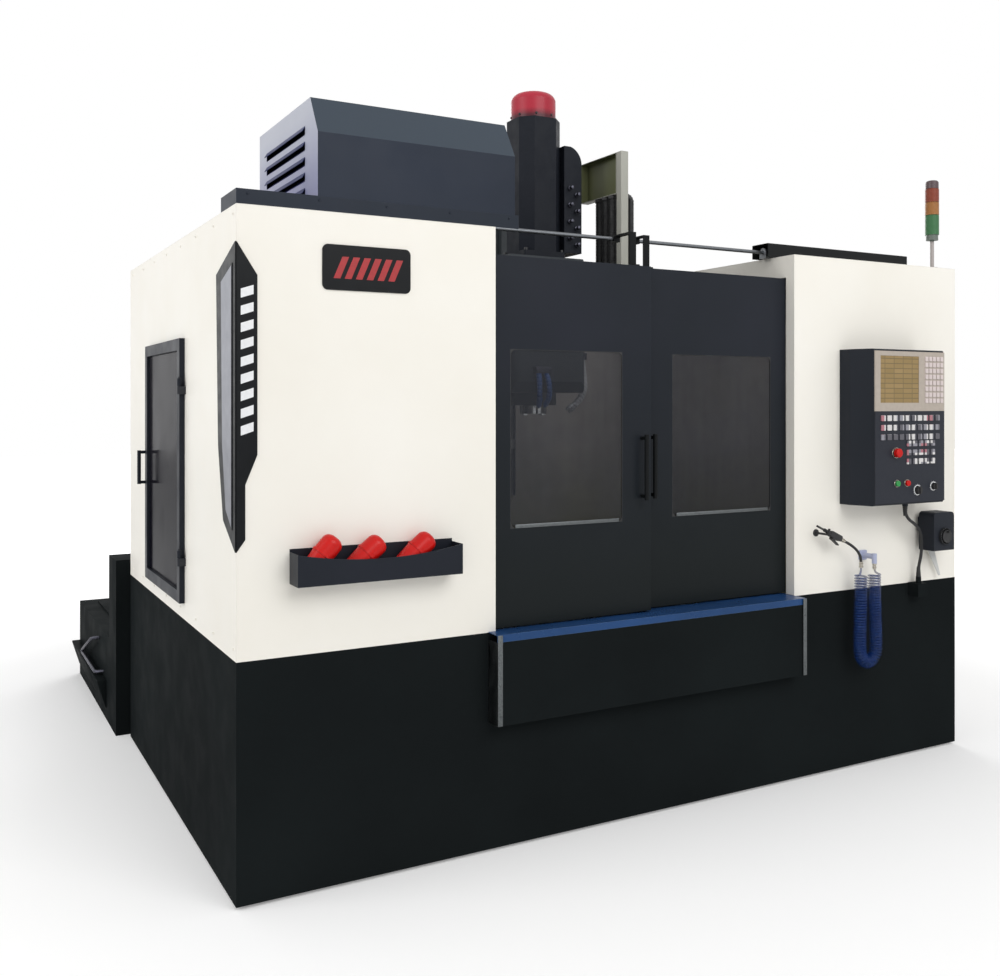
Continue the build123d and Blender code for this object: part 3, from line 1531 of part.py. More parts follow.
# Air gun: nozzle and body on a bent hook, and the outlet that feeds its hose
gun_x = right_x - gun_inset
gun_y = front_y - gun_reach
gun_tip = Vector(gun_x - 108, gun_y, gun_z + 50)
gun_centre = Vector(gun_x, gun_y, gun_z)
gun_way = (gun_centre - gun_tip).normalized()
gun_plane = Plane(origin=gun_centre, x_dir=gun_way, z_dir=(0, -1, 0))
gun_up = Vector(*gun_plane.y_dir)
gun_half = 11
gun_body = 74
gun_height = 26
collar_radius = 8
collar_length = 34
hook_radius = 5
hook_seat = 0.3
hook_centre = gun_centre - gun_way * (gun_body / 2 + 18) - gun_up * (
    collar_radius + hook_radius + hook_seat)
outlet_inset = 634
outlet_x = right_x - outlet_inset
outlet_y = front_y - 72
coil_top_z = 930
nozzle_length = (gun_centre - gun_tip).length - gun_body / 2
lever_eye = 4.6
lever_half = 8
lever_pin_radius = 2
lever_pin_clearance = 0.05
trigger_pivot = gun_centre - gun_way * 14 - gun_up * (gun_height / 2 + 5)
trigger_plane = Plane(origin=trigger_pivot, x_dir=gun_way, z_dir=(0, -1, 0))
with BuildPart() as gun_shape:
    with BuildSketch(gun_plane.offset(-gun_half)):
        RectangleRounded(gun_body, gun_height, 8)
    extrude(amount=2 * gun_half)
    with BuildSketch(Plane(origin=gun_tip, z_dir=gun_way)):
        Circle(4.5)
    extrude(amount=nozzle_length)
    with BuildSketch(Plane(origin=gun_tip + gun_way * (nozzle_length - collar_length),
                           z_dir=gun_way)):
        Circle(collar_radius)
    extrude(amount=collar_length)
    for ear_offset in (-gun_half, lever_half + 0.4):
        with BuildSketch(trigger_plane.offset(ear_offset)):
            Circle(lever_eye)
            span(-lever_eye, lever_eye, 0, 8)
        extrude(amount=gun_half - lever_half - 0.4)
    with BuildSketch(trigger_plane.offset(-gun_half)):
        Circle(lever_pin_radius)
    extrude(amount=2 * gun_half)
with BuildPart() as gun_hook:
    with BuildSketch(across(0)):
        with Locations((hook_centre.X, hook_centre.Z)):
            Circle(hook_radius)
    extrude(amount=front_y - gun_y + 20)
    with BuildSketch(level(hook_centre.Z)):
        with Locations((hook_centre.X, gun_y - 20)):
            Circle(hook_radius)
    extrude(amount=26)
    with BuildSketch(across(0)):
        with Locations((hook_centre.X, hook_centre.Z)):
            Circle(16)
    extrude(amount=4)
with BuildPart() as air_outlet:
    with BuildSketch(across(0)):
        with Locations((outlet_x, coil_top_z + 30)):
            RectangleRounded(44, 44, 6)
    extrude(amount=10)
    with BuildSketch(across(-10)):
        with Locations((outlet_x, coil_top_z + 30)):
            Circle(12)
    extrude(amount=62)
    with BuildSketch(level(coil_top_z)):
        with Locations((outlet_x, outlet_y)):
            Circle(11)
    extrude(amount=44)
save(group([gun_shape.part, gun_hook.part, air_outlet.part]), "air_gun")

# Trigger: lever on the pin between the ears under the gun's body
with BuildPart() as air_gun_trigger:
    with BuildSketch(trigger_plane.offset(-lever_half)):
        with BuildLine():
            Polyline((0, -lever_eye), (44, -15), (46, -11), (0, lever_eye), close=True)
        make_face()
        Circle(lever_eye)
        Circle(lever_pin_radius + lever_pin_clearance, mode=Mode.SUBTRACT)
    extrude(amount=2 * lever_half)
save(air_gun_trigger.part, "air_gun_trigger")

# Air hose: black lead from the gun, then the blue coil that hangs as a loop
hose_radius = 6
coil_radius = 30
coil_start_x = outlet_x - 84
hose_start = gun_centre + gun_way * gun_body / 2
hose_points = [
    tuple(hose_start),
    tuple(hose_start + gun_way * 34),
    (coil_start_x - 46, gun_y - 5, 1016),
    (coil_start_x - 18, gun_y - 9, 992),
    (coil_start_x, outlet_y, 962),
    (coil_start_x, outlet_y, coil_top_z),
]
save(tube(hose_points, hose_radius), "air_hose")
coil_points = [
    (coil_start_x, outlet_y, coil_top_z),
    (coil_start_x, outlet_y, 800),
    (coil_start_x - 6, outlet_y, 690),
    (coil_start_x - 9, outlet_y, 600),
    (coil_start_x - 7, outlet_y, 515),
    (coil_start_x + 41, outlet_y, 487),
    (outlet_x + 6, outlet_y, 515),
    (outlet_x + 8, outlet_y, 600),
    (outlet_x + 4, outlet_y, 690),
    (outlet_x, outlet_y, 800),
    (outlet_x, outlet_y, coil_top_z),
]
save(tube(coil_points, coil_radius), "air_hose_coil")

# Coolant tank behind the machine: L-shaped tank, filter box, lids and two pumps
tank_left_x = left_x - side_reach
tank_right_x = tank_left_x + tank_width
tank_front_y = front_y + tank_front_depth
tank_back_y = front_y + tank_back_depth
tank_notch_x = bed_left_x - 20
tank_notch_y = front_y + tank_notch_depth
with BuildPart() as coolant_tank:
    with BuildSketch(level(0)):
        with BuildLine():
            Polyline(
                (tank_left_x, tank_front_y),
                (tank_notch_x, tank_front_y),
                (tank_notch_x, tank_notch_y),
                (tank_right_x, tank_notch_y),
                (tank_right_x, tank_back_y),
                (tank_left_x, tank_back_y),
                close=True,
            )
        make_face()
    extrude(amount=tank_height)
    with BuildSketch(level(tank_height)):
        span(tank_left_x, tank_left_x + 520, tank_front_y, tank_front_y + filter_depth)
    extrude(amount=filter_height)
    with BuildSketch(across(tank_front_depth)):
        with Locations((tank_left_x + 300, tank_height + 260)):
            Circle(32)
    extrude(amount=tank_front_depth - side_depth)
    with BuildSketch(across(tank_notch_depth)):
        span(spindle_x - 160, spindle_x + 160, tank_height - 150, tank_height)
    extrude(amount=tank_notch_depth - bed_back_depth)
    with BuildSketch(level(tank_height)):
        span(tank_left_x + 90, tank_left_x + 830, tank_notch_y - 60, tank_back_y - 90)
        span(tank_left_x + 900, tank_left_x + 1600, tank_notch_y + 60, tank_back_y - 640)
    extrude(amount=8)
    fillet(coolant_tank.edges().filter_by(Axis.Z).filter_by(
        lambda edge: edge.length < 9), 14)
    for lid_y in (tank_notch_y + 120, tank_back_y - 270):
        with BuildSketch(along(tank_left_x + 390)):
            with Locations((lid_y, tank_height + 8)):
                Rectangle(150, 40, align=(Align.CENTER, Align.MIN))
            with Locations((lid_y, tank_height + 8)):
                Rectangle(130, 30, align=(Align.CENTER, Align.MIN), mode=Mode.SUBTRACT)
        extrude(amount=12)
with BuildPart() as coolant_pumps:
    with BuildSketch(level(tank_height)):
        with Locations((tank_left_x + 1250, tank_back_y - 330)):
            with GridLocations(420, 0, 2, 1):
                Circle(95)
    extrude(amount=14)
    with BuildSketch(level(tank_height + 14)):
        with Locations((tank_left_x + 1250, tank_back_y - 330)):
            with GridLocations(420, 0, 2, 1):
                Circle(62)
    extrude(amount=190)
    with BuildSketch(level(tank_height + 204)):
        with Locations((tank_left_x + 1250, tank_back_y - 330)):
            with GridLocations(420, 0, 2, 1):
                Circle(68)
    extrude(amount=50)
save(group([coolant_tank.part, coolant_pumps.part]), "coolant_tank")

# Electrical cabinet on the right of the rear wall, with its hinged door
cabinet_left_x = bed_right_x + cabinet_bed_gap
cabinet_right_x = right_x - cabinet_right_inset
cabinet_back_depth = side_depth + cabinet_depth
cabinet_wall = 25
cabinet_door_gap = 1
cabinet_door_thickness = 22
cabinet_hinge_x = cabinet_right_x + 9
cabinet_hinge_y = front_y + cabinet_back_depth + cabinet_door_thickness - 4
cabinet_hinge_radius = 8
cabinet_pin_radius = 3
cabinet_pin_clearance = 0.05
cabinet_knuckle = 40
cabinet_hinge_zs = (cabinet_foot_z + 180, cabinet_foot_z + 880, cabinet_foot_z + 1580)
with BuildPart() as electrical_cabinet:
    with BuildSketch(across(side_depth)):
        span(cabinet_left_x, cabinet_right_x, cabinet_foot_z, cabinet_top_z)
    extrude(amount=-cabinet_depth)
    with BuildSketch(across(side_depth + sheet)):
        span(cabinet_left_x + cabinet_wall, cabinet_right_x - cabinet_wall,
             cabinet_foot_z + cabinet_wall, cabinet_top_z - cabinet_wall)
    extrude(amount=-cabinet_depth, mode=Mode.SUBTRACT)
    for knuckle_z in cabinet_hinge_zs:
        with BuildSketch(level(knuckle_z)):
            with Locations((cabinet_hinge_x, cabinet_hinge_y)):
                Circle(cabinet_hinge_radius)
            span(cabinet_right_x, cabinet_right_x + sheet, cabinet_hinge_y - 60,
                 cabinet_hinge_y)
        extrude(amount=cabinet_knuckle)
        with BuildSketch(level(knuckle_z + cabinet_knuckle)):
            with Locations((cabinet_hinge_x, cabinet_hinge_y)):
                Circle(cabinet_pin_radius)
        extrude(amount=cabinet_knuckle - 2)
save(electrical_cabinet.part, "electrical_cabinet")

with BuildPart() as cabinet_door:
    with BuildSketch(across(cabinet_back_depth + cabinet_door_gap)):
        span(cabinet_left_x, cabinet_right_x - 1, cabinet_foot_z, cabinet_top_z)
    extrude(amount=-cabinet_door_thickness)
    with BuildSketch(across(cabinet_back_depth + cabinet_door_gap + cabinet_door_thickness)):
        with Locations((cabinet_left_x + 60, 1150)):
            RectangleRounded(34, 150, 10)
    extrude(amount=-26)
    for knuckle_z in cabinet_hinge_zs:
        with BuildSketch(level(knuckle_z + cabinet_knuckle + cabinet_door_gap)):
            with Locations((cabinet_hinge_x, cabinet_hinge_y)):
                Circle(cabinet_hinge_radius)
            span(cabinet_right_x - 40, cabinet_hinge_x, cabinet_hinge_y + 5,
                 cabinet_hinge_y + 8)
            with Locations((cabinet_hinge_x, cabinet_hinge_y)):
                Circle(cabinet_pin_radius + cabinet_pin_clearance, mode=Mode.SUBTRACT)
        extrude(amount=cabinet_knuckle)
save(cabinet_door.part, "cabinet_door")
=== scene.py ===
from math import pi, radians

import bmesh
import bpy
from mathutils import Matrix, Vector
from mathutils.geometry import interpolate_bezier


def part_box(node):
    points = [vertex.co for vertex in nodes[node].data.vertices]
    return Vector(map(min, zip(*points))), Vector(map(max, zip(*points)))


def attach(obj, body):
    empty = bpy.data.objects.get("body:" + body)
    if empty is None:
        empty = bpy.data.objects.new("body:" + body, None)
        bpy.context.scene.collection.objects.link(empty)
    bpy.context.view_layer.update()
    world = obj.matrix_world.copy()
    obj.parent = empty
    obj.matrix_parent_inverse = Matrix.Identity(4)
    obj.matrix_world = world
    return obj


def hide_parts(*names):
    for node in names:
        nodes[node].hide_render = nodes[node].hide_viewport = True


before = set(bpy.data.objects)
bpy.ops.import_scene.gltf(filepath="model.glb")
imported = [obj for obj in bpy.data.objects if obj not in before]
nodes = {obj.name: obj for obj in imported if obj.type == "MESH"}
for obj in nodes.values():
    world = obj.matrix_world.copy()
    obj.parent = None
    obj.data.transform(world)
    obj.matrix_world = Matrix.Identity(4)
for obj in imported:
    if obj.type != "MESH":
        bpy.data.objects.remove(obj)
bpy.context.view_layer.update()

# Camera. It stands at eye height, level, and looks at the machine's front left corner.
# The lens and the place are those that give the photograph's perspective.
camera_lens = bpy.data.cameras.new("camera")
camera_lens.lens = 37.69
camera_lens.shift_y = -0.085
camera = bpy.data.objects.new("camera", camera_lens)
camera.location = (-2.5985, -5.025, 1.651)
camera.rotation_euler = (radians(90), 0, radians(-28.73))
bpy.context.scene.collection.objects.link(camera)
bpy.context.scene.camera = camera


# Control cable. A black rubber-sheathed cable, 14 mm thick, that leaves a gland under the
# control box, crosses behind the handwheel and drops into the socket on the base skirt.
def linear(hex_colour):
    """An sRGB hex colour as linear light, which is what the shaders work in."""
    channels = [int(hex_colour[i:i + 2], 16) / 255 for i in (1, 3, 5)]
    return tuple(c / 12.92 if c <= 0.04045 else ((c + 0.055) / 1.055) ** 2.4
                 for c in channels) + (1.0,)


def feed(node, sockets):
    """Sets a node's sockets, each to a value, a hex colour or another node's output."""
    for name, value in sockets.items():
        if isinstance(value, bpy.types.NodeSocket):
            node.id_data.links.new(value, node.inputs[name])
        else:
            node.inputs[name].default_value = linear(value) if isinstance(value, str) else value


def add_node(tree, kind, settings=None, sockets=None):
    """Adds one node, with its settings and its sockets."""
    node = tree.nodes.new(kind)
    for name, value in (settings or {}).items():
        setattr(node, name, value)
    feed(node, sockets or {})
    return node


def new_finish(name):
    """A material with its shader and its object coordinates."""
    material = bpy.data.materials.new(name)
    material.use_nodes = True
    tree = material.node_tree
    place = add_node(tree, "ShaderNodeTexCoord").outputs["Object"]
    return material, tree, tree.nodes["Principled BSDF"], place


def rough_patches(tree, place, scale, low, high):
    """Roughness that drifts between two values in soft patches, as on a handled surface."""
    patches = add_node(tree, "ShaderNodeTexNoise", None,
                       {"Vector": place, "Scale": scale, "Detail": 4.0}).outputs["Fac"]
    return add_node(tree, "ShaderNodeMapRange", None,
                    {"Value": patches, "From Min": 0.35, "From Max": 0.65,
                     "To Min": low, "To Max": high}).outputs["Result"]


def rubber(name, colour, grain_size=0.0012):
    """Moulded rubber: matt, a little dusty, with a fine skin left by the mould."""
    material, tree, shader, place = new_finish(name)
    dust = add_node(tree, "ShaderNodeTexNoise", None,
                    {"Vector": place, "Scale": 9.0, "Detail": 5.0}).outputs["Fac"]
    dust_and_painted_highlight = add_node(tree, "ShaderNodeMix", {"data_type": "RGBA"},
                     {"Factor": dust, "A": colour, "B": "#2c2c2d"}).outputs["Result"]
    grain = add_node(tree, "ShaderNodeTexNoise", None,
                     {"Vector": place, "Scale": 1 / grain_size}).outputs["Fac"]
    raised = add_node(tree, "ShaderNodeBump", None,
                      {"Height": grain, "Strength": 0.4, "Distance": 0.0002}).outputs["Normal"]
    feed(shader, {"Base Color": dust_and_painted_highlight, "Normal": raised,
                  "Roughness": rough_patches(tree, place, 30.0, 0.45, 0.68)})
    return material


def cord_route(name, points):
    """The smooth line of a cord: a NURBS spline with the cord's route points."""
    curve = bpy.data.curves.new(name, "CURVE")
    curve.dimensions = "3D"
    spline = curve.splines.new("NURBS")
    spline.points.add(len(points) - 1)
    for knot, point in zip(spline.points, points):
        knot.co = (*point, 1.0)
    spline.order_u = 3
    spline.use_endpoint_u = True
    spline.resolution_u = 10
    cord = bpy.data.objects.new(name, curve)
    bpy.context.scene.collection.objects.link(cord)
    return cord


cable_jacket = rubber("cable_jacket_rubber", "#141516")
cable_diameter = 0.014
cable_points = [
    (1.3295, -1.715, 1.180), (1.3295, -1.715, 1.150), (1.3515, -1.714, 1.119),
    (1.3915, -1.711, 1.098), (1.4295, -1.707, 1.074), (1.4535, -1.702, 1.036),
    (1.4645, -1.696, 0.988), (1.4715, -1.686, 0.936), (1.4725, -1.671, 0.886),
    (1.4725, -1.671, 0.840),
]
control_cable = cord_route("control_cable_run", cable_points)
control_cable.data.bevel_depth = cable_diameter / 2
control_cable.data.bevel_resolution = 5
control_cable.data.materials.append(cable_jacket)
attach(control_cable, "machine")
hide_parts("control_cable")


# Ends of the control cable. Ribbed rubber sleeves, 45 mm long, pushed over the cable where
# it leaves the gland above and the socket below, so that it doesn't kink there.
def join(bm, part, matrix=None):
    """Puts a finished part into the piece that is being built."""
    if matrix is not None:
        bmesh.ops.transform(part, matrix=matrix, verts=part.verts)
    carrier = bpy.data.meshes.new("carrier")
    part.to_mesh(carrier)
    part.free()
    bm.from_mesh(carrier)
    bpy.data.meshes.remove(carrier)


def turned(bm, profile, foot, way=(0, 0, 1), steps=32):
    """A turned part: a profile of (radius, height) points spun about its axis."""
    part = bmesh.new()
    verts = [part.verts.new((radius, 0, height)) for radius, height in profile]
    edges = [part.edges.new(pair) for pair in zip(verts, verts[1:])]
    bmesh.ops.spin(part, geom=verts + edges, cent=(0, 0, 0), axis=(0, 0, 1), angle=2 * pi,
                   steps=steps, use_merge=True)
    bmesh.ops.remove_doubles(part, verts=part.verts, dist=1e-6)
    bmesh.ops.recalc_face_normals(part, faces=part.faces)
    turn = Vector((0, 0, 1)).rotation_difference(Vector(way)).to_matrix().to_4x4()
    join(bm, part, Matrix.Translation(foot) @ turn)


def block(bm, low, high, bevel=0.001, matrix=None):
    """A block between two corners with its edges broken."""
    part = bmesh.new()
    bmesh.ops.create_cube(part, size=1.0)
    size = Vector(high) - Vector(low)
    bmesh.ops.scale(part, vec=size, verts=part.verts)
    bmesh.ops.bevel(part, geom=part.edges[:], offset=bevel, segments=2, affect="EDGES",
                    profile=0.5, material=-1)
    bmesh.ops.translate(part, vec=Vector(low) + size / 2, verts=part.verts)
    join(bm, part, matrix)


def make_piece(bm, name, finish, body="machine", sharp=35):
    """Turns the built mesh into a piece with its finish, riding on its body."""
    mesh = bpy.data.meshes.new(name)
    bm.to_mesh(mesh)
    bm.free()
    mesh.shade_smooth()
    mesh.set_sharp_from_angle(angle=radians(sharp))
    mesh.materials.append(finish)
    piece = bpy.data.objects.new(name, mesh)
    bpy.context.scene.collection.objects.link(piece)
    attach(piece, body)
    return piece


def sleeve_profile(length, thick, thin, ribs):
    """The outline of a ribbed strain relief that narrows along its length."""
    outline = [(thin * 0.6, 0), (thick, 0)]
    for rib in range(ribs):
        start = length * (rib + 0.35) / ribs
        wide = thick + (thin - thick) * (rib + 0.5) / ribs
        step = length / ribs * 0.3
        outline += [(wide, start), (wide - 0.0012, start + step * 0.3),
                    (wide - 0.0012, start + step * 1.3), (wide, start + step * 1.6)]
    return outline + [(thin, length), (thin * 0.6, length)]


sleeves = bmesh.new()
turned(sleeves, sleeve_profile(0.045, 0.0115, 0.0082, 5), cable_points[0], (0, 0, -1))
turned(sleeves, sleeve_profile(0.045, 0.0115, 0.0082, 5), cable_points[-1], (0, 0, 1))
cable_sleeves = make_piece(sleeves, "cable_sleeves", cable_jacket)

# Air hose. A black rubber lead runs from the gun to the top of a coiled blue polyurethane
# tube, which hangs in a loop from the outlet on the panel and springs back after use.
lead_diameter = 0.012
gun_way = Vector((0.108, 0, -0.05)).normalized()
gun_centre = Vector((0.9075, -1.695, 1.066))
lead_start = gun_centre + gun_way * 0.037
lead_points = [
    tuple(lead_start), tuple(lead_start + gun_way * 0.034), (1.0095, -1.700, 1.016),
    (1.0375, -1.704, 0.992), (1.0555, -1.707, 0.962), (1.0555, -1.707, 0.930),
]
hose_lead = cord_route("air_hose_lead", list(reversed(lead_points)))
hose_lead.data.bevel_depth = lead_diameter / 2
hose_lead.data.bevel_resolution = 5
hose_lead.data.materials.append(cable_jacket)
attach(hose_lead, "machine")
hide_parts("air_hose")

coil_points = [
    (1.1395, -1.707, 0.930), (1.1395, -1.707, 0.800), (1.1435, -1.707, 0.690),
    (1.1475, -1.707, 0.600), (1.1455, -1.707, 0.515), (1.0965, -1.707, 0.487),
    (1.0485, -1.707, 0.515), (1.0465, -1.707, 0.600), (1.0495, -1.707, 0.690),
    (1.0555, -1.707, 0.800), (1.0555, -1.707, 0.930),
]
coil_guide = cord_route("coil_guide", coil_points)
coil_line = bpy.data.meshes.new_from_object(coil_guide)
coil_spine = [vertex.co.copy() for vertex in coil_line.vertices]
bpy.data.objects.remove(coil_guide)


def at_length(line, reach):
    """The point of a line at a length along it, and the way it runs there."""
    for before, after in zip(line, line[1:]):
        run = (after - before).length
        if reach <= run:
            return before + (after - before) * (reach / run), (after - before).normalized()
        reach -= run
    return line[-1].copy(), (line[-1] - line[-2]).normalized()


tube_diameter = 0.009
helix_radius = 0.0245
turn_pitch = 0.0118
points_per_turn = 20
spine_length = sum((b - a).length for a, b in zip(coil_spine, coil_spine[1:]))
lead_in = 0.048
turn_count = int((spine_length - 2 * lead_in) / turn_pitch)
helix = []
for step in range(turn_count * points_per_turn + 1):
    share = step / (turn_count * points_per_turn)
    foot, way = at_length(coil_spine, lead_in + share * (spine_length - 2 * lead_in))
    across = Vector((0, 1, 0))
    outwards = way.cross(across)
    swing = Matrix.Rotation(2 * pi * step / points_per_turn, 3, way)
    helix.append(foot + swing @ outwards * helix_radius)
# Each end leaves its fitting straight and swings out into the first turn.
down = Vector((0, 0, -1))
head = interpolate_bezier(coil_spine[0] + down * 0.014, coil_spine[0] + down * 0.034,
                          helix[0] - (helix[1] - helix[0]).normalized() * 0.018, helix[0], 14)
tail = interpolate_bezier(helix[-1], helix[-1] + (helix[-1] - helix[-2]).normalized() * 0.018,
                          coil_spine[-1] + down * 0.034, coil_spine[-1] + down * 0.014, 14)
helix = [coil_spine[0]] + head[:-1] + helix + tail[1:] + [coil_spine[-1]]


def tube_along(bm, line, radii, sides=10):
    """A round tube that follows a line, with a radius for each point and closed ends."""
    tube = bmesh.new()
    rings = []
    side = Vector((0, 1, 0))
    for index, point in enumerate(line):
        way = (line[min(index + 1, len(line) - 1)] - line[max(index - 1, 0)]).normalized()
        side = (side - way * side.dot(way)).normalized()
        up = way.cross(side)
        ring = bmesh.ops.create_circle(tube, segments=sides, radius=radii[index])["verts"]
        turn = Matrix((side, up, way)).transposed().to_4x4()
        bmesh.ops.transform(tube, matrix=Matrix.Translation(point) @ turn, verts=ring)
        rings.append(ring)
    for ring, following in zip(rings, rings[1:]):
        for n in range(sides):
            tube.faces.new((ring[n], ring[(n + 1) % sides], following[(n + 1) % sides],
                            following[n]))
    tube.faces.new(rings[0])
    tube.faces.new(rings[-1])
    bmesh.ops.recalc_face_normals(tube, faces=tube.faces)
    join(bm, tube)


def speckled(name, first, second, scale, rough, metallic=0.0, gloss=0.5, stretch=None):
    """A finish in soft spots of two close tones, drawn out where stretch gives three scales."""
    material, tree, shader, place = new_finish(name)
    spotted = place
    if stretch:
        spotted = add_node(tree, "ShaderNodeMapping", None,
                           {"Vector": place, "Scale": stretch}).outputs["Vector"]
    if isinstance(rough, tuple):
        rough = rough_patches(tree, place, *rough)
    spots = add_node(tree, "ShaderNodeTexNoise", None,
                     {"Vector": spotted, "Scale": scale}).outputs["Fac"]
    mottled = add_node(tree, "ShaderNodeMix", {"data_type": "RGBA"},
                       {"Factor": spots, "A": first, "B": second}).outputs["Result"]
    feed(shader, {"Base Color": mottled, "Roughness": rough, "Metallic": metallic,
                  "Specular IOR Level": gloss})
    return material


# The tube is clear polyurethane dyed blue, so it is pale against the white panel and deep
# navy against the black skirt.
blue_tube = speckled("blue_polyurethane_tube", "#0e2c66", "#1a4389", 14.0, (60.0, 0.16, 0.3),
                     gloss=0.3)
feed(blue_tube.node_tree.nodes["Principled BSDF"], {"Alpha": 0.42})

coil_mesh = bmesh.new()
tube_along(coil_mesh, helix, [tube_diameter / 2] * len(helix))
hose_coil = make_piece(coil_mesh, "air_hose_coiled", blue_tube, sharp=60)
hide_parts("air_hose_coil")

# Hose fittings. Turned brass-and-nickel couplings, 26 mm long, crimped on both ends of
# the coil and where the lead enters the gun.
nickel = speckled("nickel_plated_brass", "#c9c6bd", "#a9a294", 40.0, (80.0, 0.18, 0.32), 1.0)
coupling = [(0.004, 0), (0.0098, 0), (0.0098, 0.006), (0.008, 0.007), (0.008, 0.014),
            (0.0092, 0.0145), (0.0092, 0.019), (0.0078, 0.020), (0.0078, 0.026), (0.004, 0.026)]
fittings = bmesh.new()
turned(fittings, coupling, coil_points[0], (0, 0, -1))
turned(fittings, coupling, (1.0555, -1.707, 0.918), (0, 0, 1))
hose_fittings = make_piece(fittings, "hose_fittings", nickel)
gun_end = bmesh.new()
turned(gun_end, coupling, lead_start, gun_way)
gun_coupling = make_piece(gun_end, "gun_coupling", nickel)


# Enclosure panels. Folded 3 mm sheet steel, sprayed warm white after welding. The spray
# leaves a slight orange peel, and the edges catch the light.
def sprayed_enamel(name, colour, shade, roughness, peel_size=0.004, peel_depth=0.00006,
                   worn_and_lit_edge_colour=None, worn_and_lit_edge_share=0.0, gloss=0.3):
    """Sprayed enamel over sheet steel, with soft drift in tone, peel and rounded edges."""
    material, tree, shader, place = new_finish(name)
    cloud = add_node(tree, "ShaderNodeTexNoise", None,
                     {"Vector": place, "Scale": 1.6, "Detail": 4.0}).outputs["Fac"]
    drift = add_node(tree, "ShaderNodeMapRange", None,
                     {"Value": cloud, "From Min": 0.3, "From Max": 0.7}).outputs["Result"]
    paint = add_node(tree, "ShaderNodeMix", {"data_type": "RGBA"},
                     {"Factor": drift, "A": colour, "B": shade}).outputs["Result"]
    edge = add_node(tree, "ShaderNodeBevel", {"samples": 4},
                    {"Radius": 0.0015}).outputs["Normal"]
    # Edges are mixed towards a paler colour: partly wear, partly a painted highlight where the
    # edges would catch the light.
    if worn_and_lit_edge_colour:
        flat = add_node(tree, "ShaderNodeNewGeometry").outputs["Normal"]
        bend = add_node(tree, "ShaderNodeVectorMath", {"operation": "DOT_PRODUCT"},
                        {0: edge, 1: flat}).outputs["Value"]
        worn_and_lit_edges = add_node(tree, "ShaderNodeMapRange", None,
                          {"Value": bend, "From Min": 0.995, "From Max": 0.9,
                           "To Max": worn_and_lit_edge_share}).outputs["Result"]
        paint = add_node(tree, "ShaderNodeMix", {"data_type": "RGBA"},
                         {"Factor": worn_and_lit_edges, "A": paint, "B": worn_and_lit_edge_colour}).outputs["Result"]
    patches = rough_patches(tree, place, 7.0, roughness - 0.05, roughness + 0.07)
    peel = add_node(tree, "ShaderNodeTexNoise", None,
                    {"Vector": place, "Scale": 1 / peel_size, "Detail": 1.0}).outputs["Fac"]
    skin = add_node(tree, "ShaderNodeBump", None,
                    {"Height": peel, "Strength": 0.5, "Distance": peel_depth,
                     "Normal": edge}).outputs["Normal"]
    feed(shader, {"Base Color": paint, "Roughness": patches, "Specular IOR Level": gloss,
                  "Normal": skin})
    return material


def coat(finish, *names):
    """Gives CAD pieces their finish."""
    for name in names:
        for place in nodes[name].material_slots:
            place.material = finish


# The enclosure's outer faces, which the screws, strips and plates are placed from.
left_x, right_x, front_y, sheet_back_y = -1.7165, 1.7735, -1.635, 0.365
white_enamel = sprayed_enamel("warm_white_enamel", "#f4f1e9", "#efebe1", 0.36)
coat(white_enamel, "enclosure_panels", "front_panels")


# Panel screws. Button-head screws hold the side and rear sheets to the frame behind them,
# every 270 mm, and are sprayed over with the sheets.
def screw_head(bm, seat, way, radius=0.005):
    """A button-head screw with its hexagon recess."""
    turned(bm, [(radius, 0), (radius, radius * 0.15), (radius * 0.82, radius * 0.55),
                (radius * 0.45, radius * 0.7), (radius * 0.42, radius * 0.3), (0, radius * 0.3)],
           seat, way, steps=12)


screws = bmesh.new()
for step in range(8):
    for seat_x, outwards in ((left_x, -1), (right_x, 1)):
        for seat_z in (2.270, 0.846):
            screw_head(screws, (seat_x, -1.60 + 0.27 * step, seat_z), (outwards, 0, 0))
for step in range(4):
    for seat_x in (-1.68, 1.74):
        screw_head(screws, (seat_x, sheet_back_y, 0.95 + 0.42 * step), (0, 1, 0))
make_piece(screws, "panel_screws", white_enamel)

# Base skirt and apron. The same sheet, sprayed black with a fine texture that hides the
# scuffs of shoes and trolleys.
black_enamel = sprayed_enamel("black_structured_enamel", "#181b1c", "#1c2021", 0.5,
                              0.0022, 0.00012, "#36393a", 0.35, 0.004)
coat(black_enamel, "base_panels", "front_apron", "coolant_tank")

# Tank lip. A folded lip of the same black sheet runs along the tank's left side and sheds
# what drips from the wall above it.
tank_left_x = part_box("coolant_tank")[0][0]
lip = bmesh.new()
lip_outline = [(0.0, 0.205), (-0.045, 0.205), (-0.045, 0.196), (-0.004, 0.062), (0.0, 0.062)]
lip_ends = []
for lip_y in (0.75, 1.822):
    lip_ends.append([lip.verts.new((tank_left_x + 0.0003 + a, lip_y, b))
                     for a, b in lip_outline])
for n in range(5):
    lip.faces.new((lip_ends[0][n], lip_ends[0][(n + 1) % 5], lip_ends[1][(n + 1) % 5],
                   lip_ends[1][n]))
lip.faces.new(lip_ends[0])
lip.faces.new(lip_ends[1])
bmesh.ops.recalc_face_normals(lip, faces=lip.faces)
bmesh.ops.bevel(lip, geom=lip.edges[:], offset=0.0012, segments=2, affect="EDGES",
                profile=0.5)
make_piece(lip, "tank_lip", black_enamel)

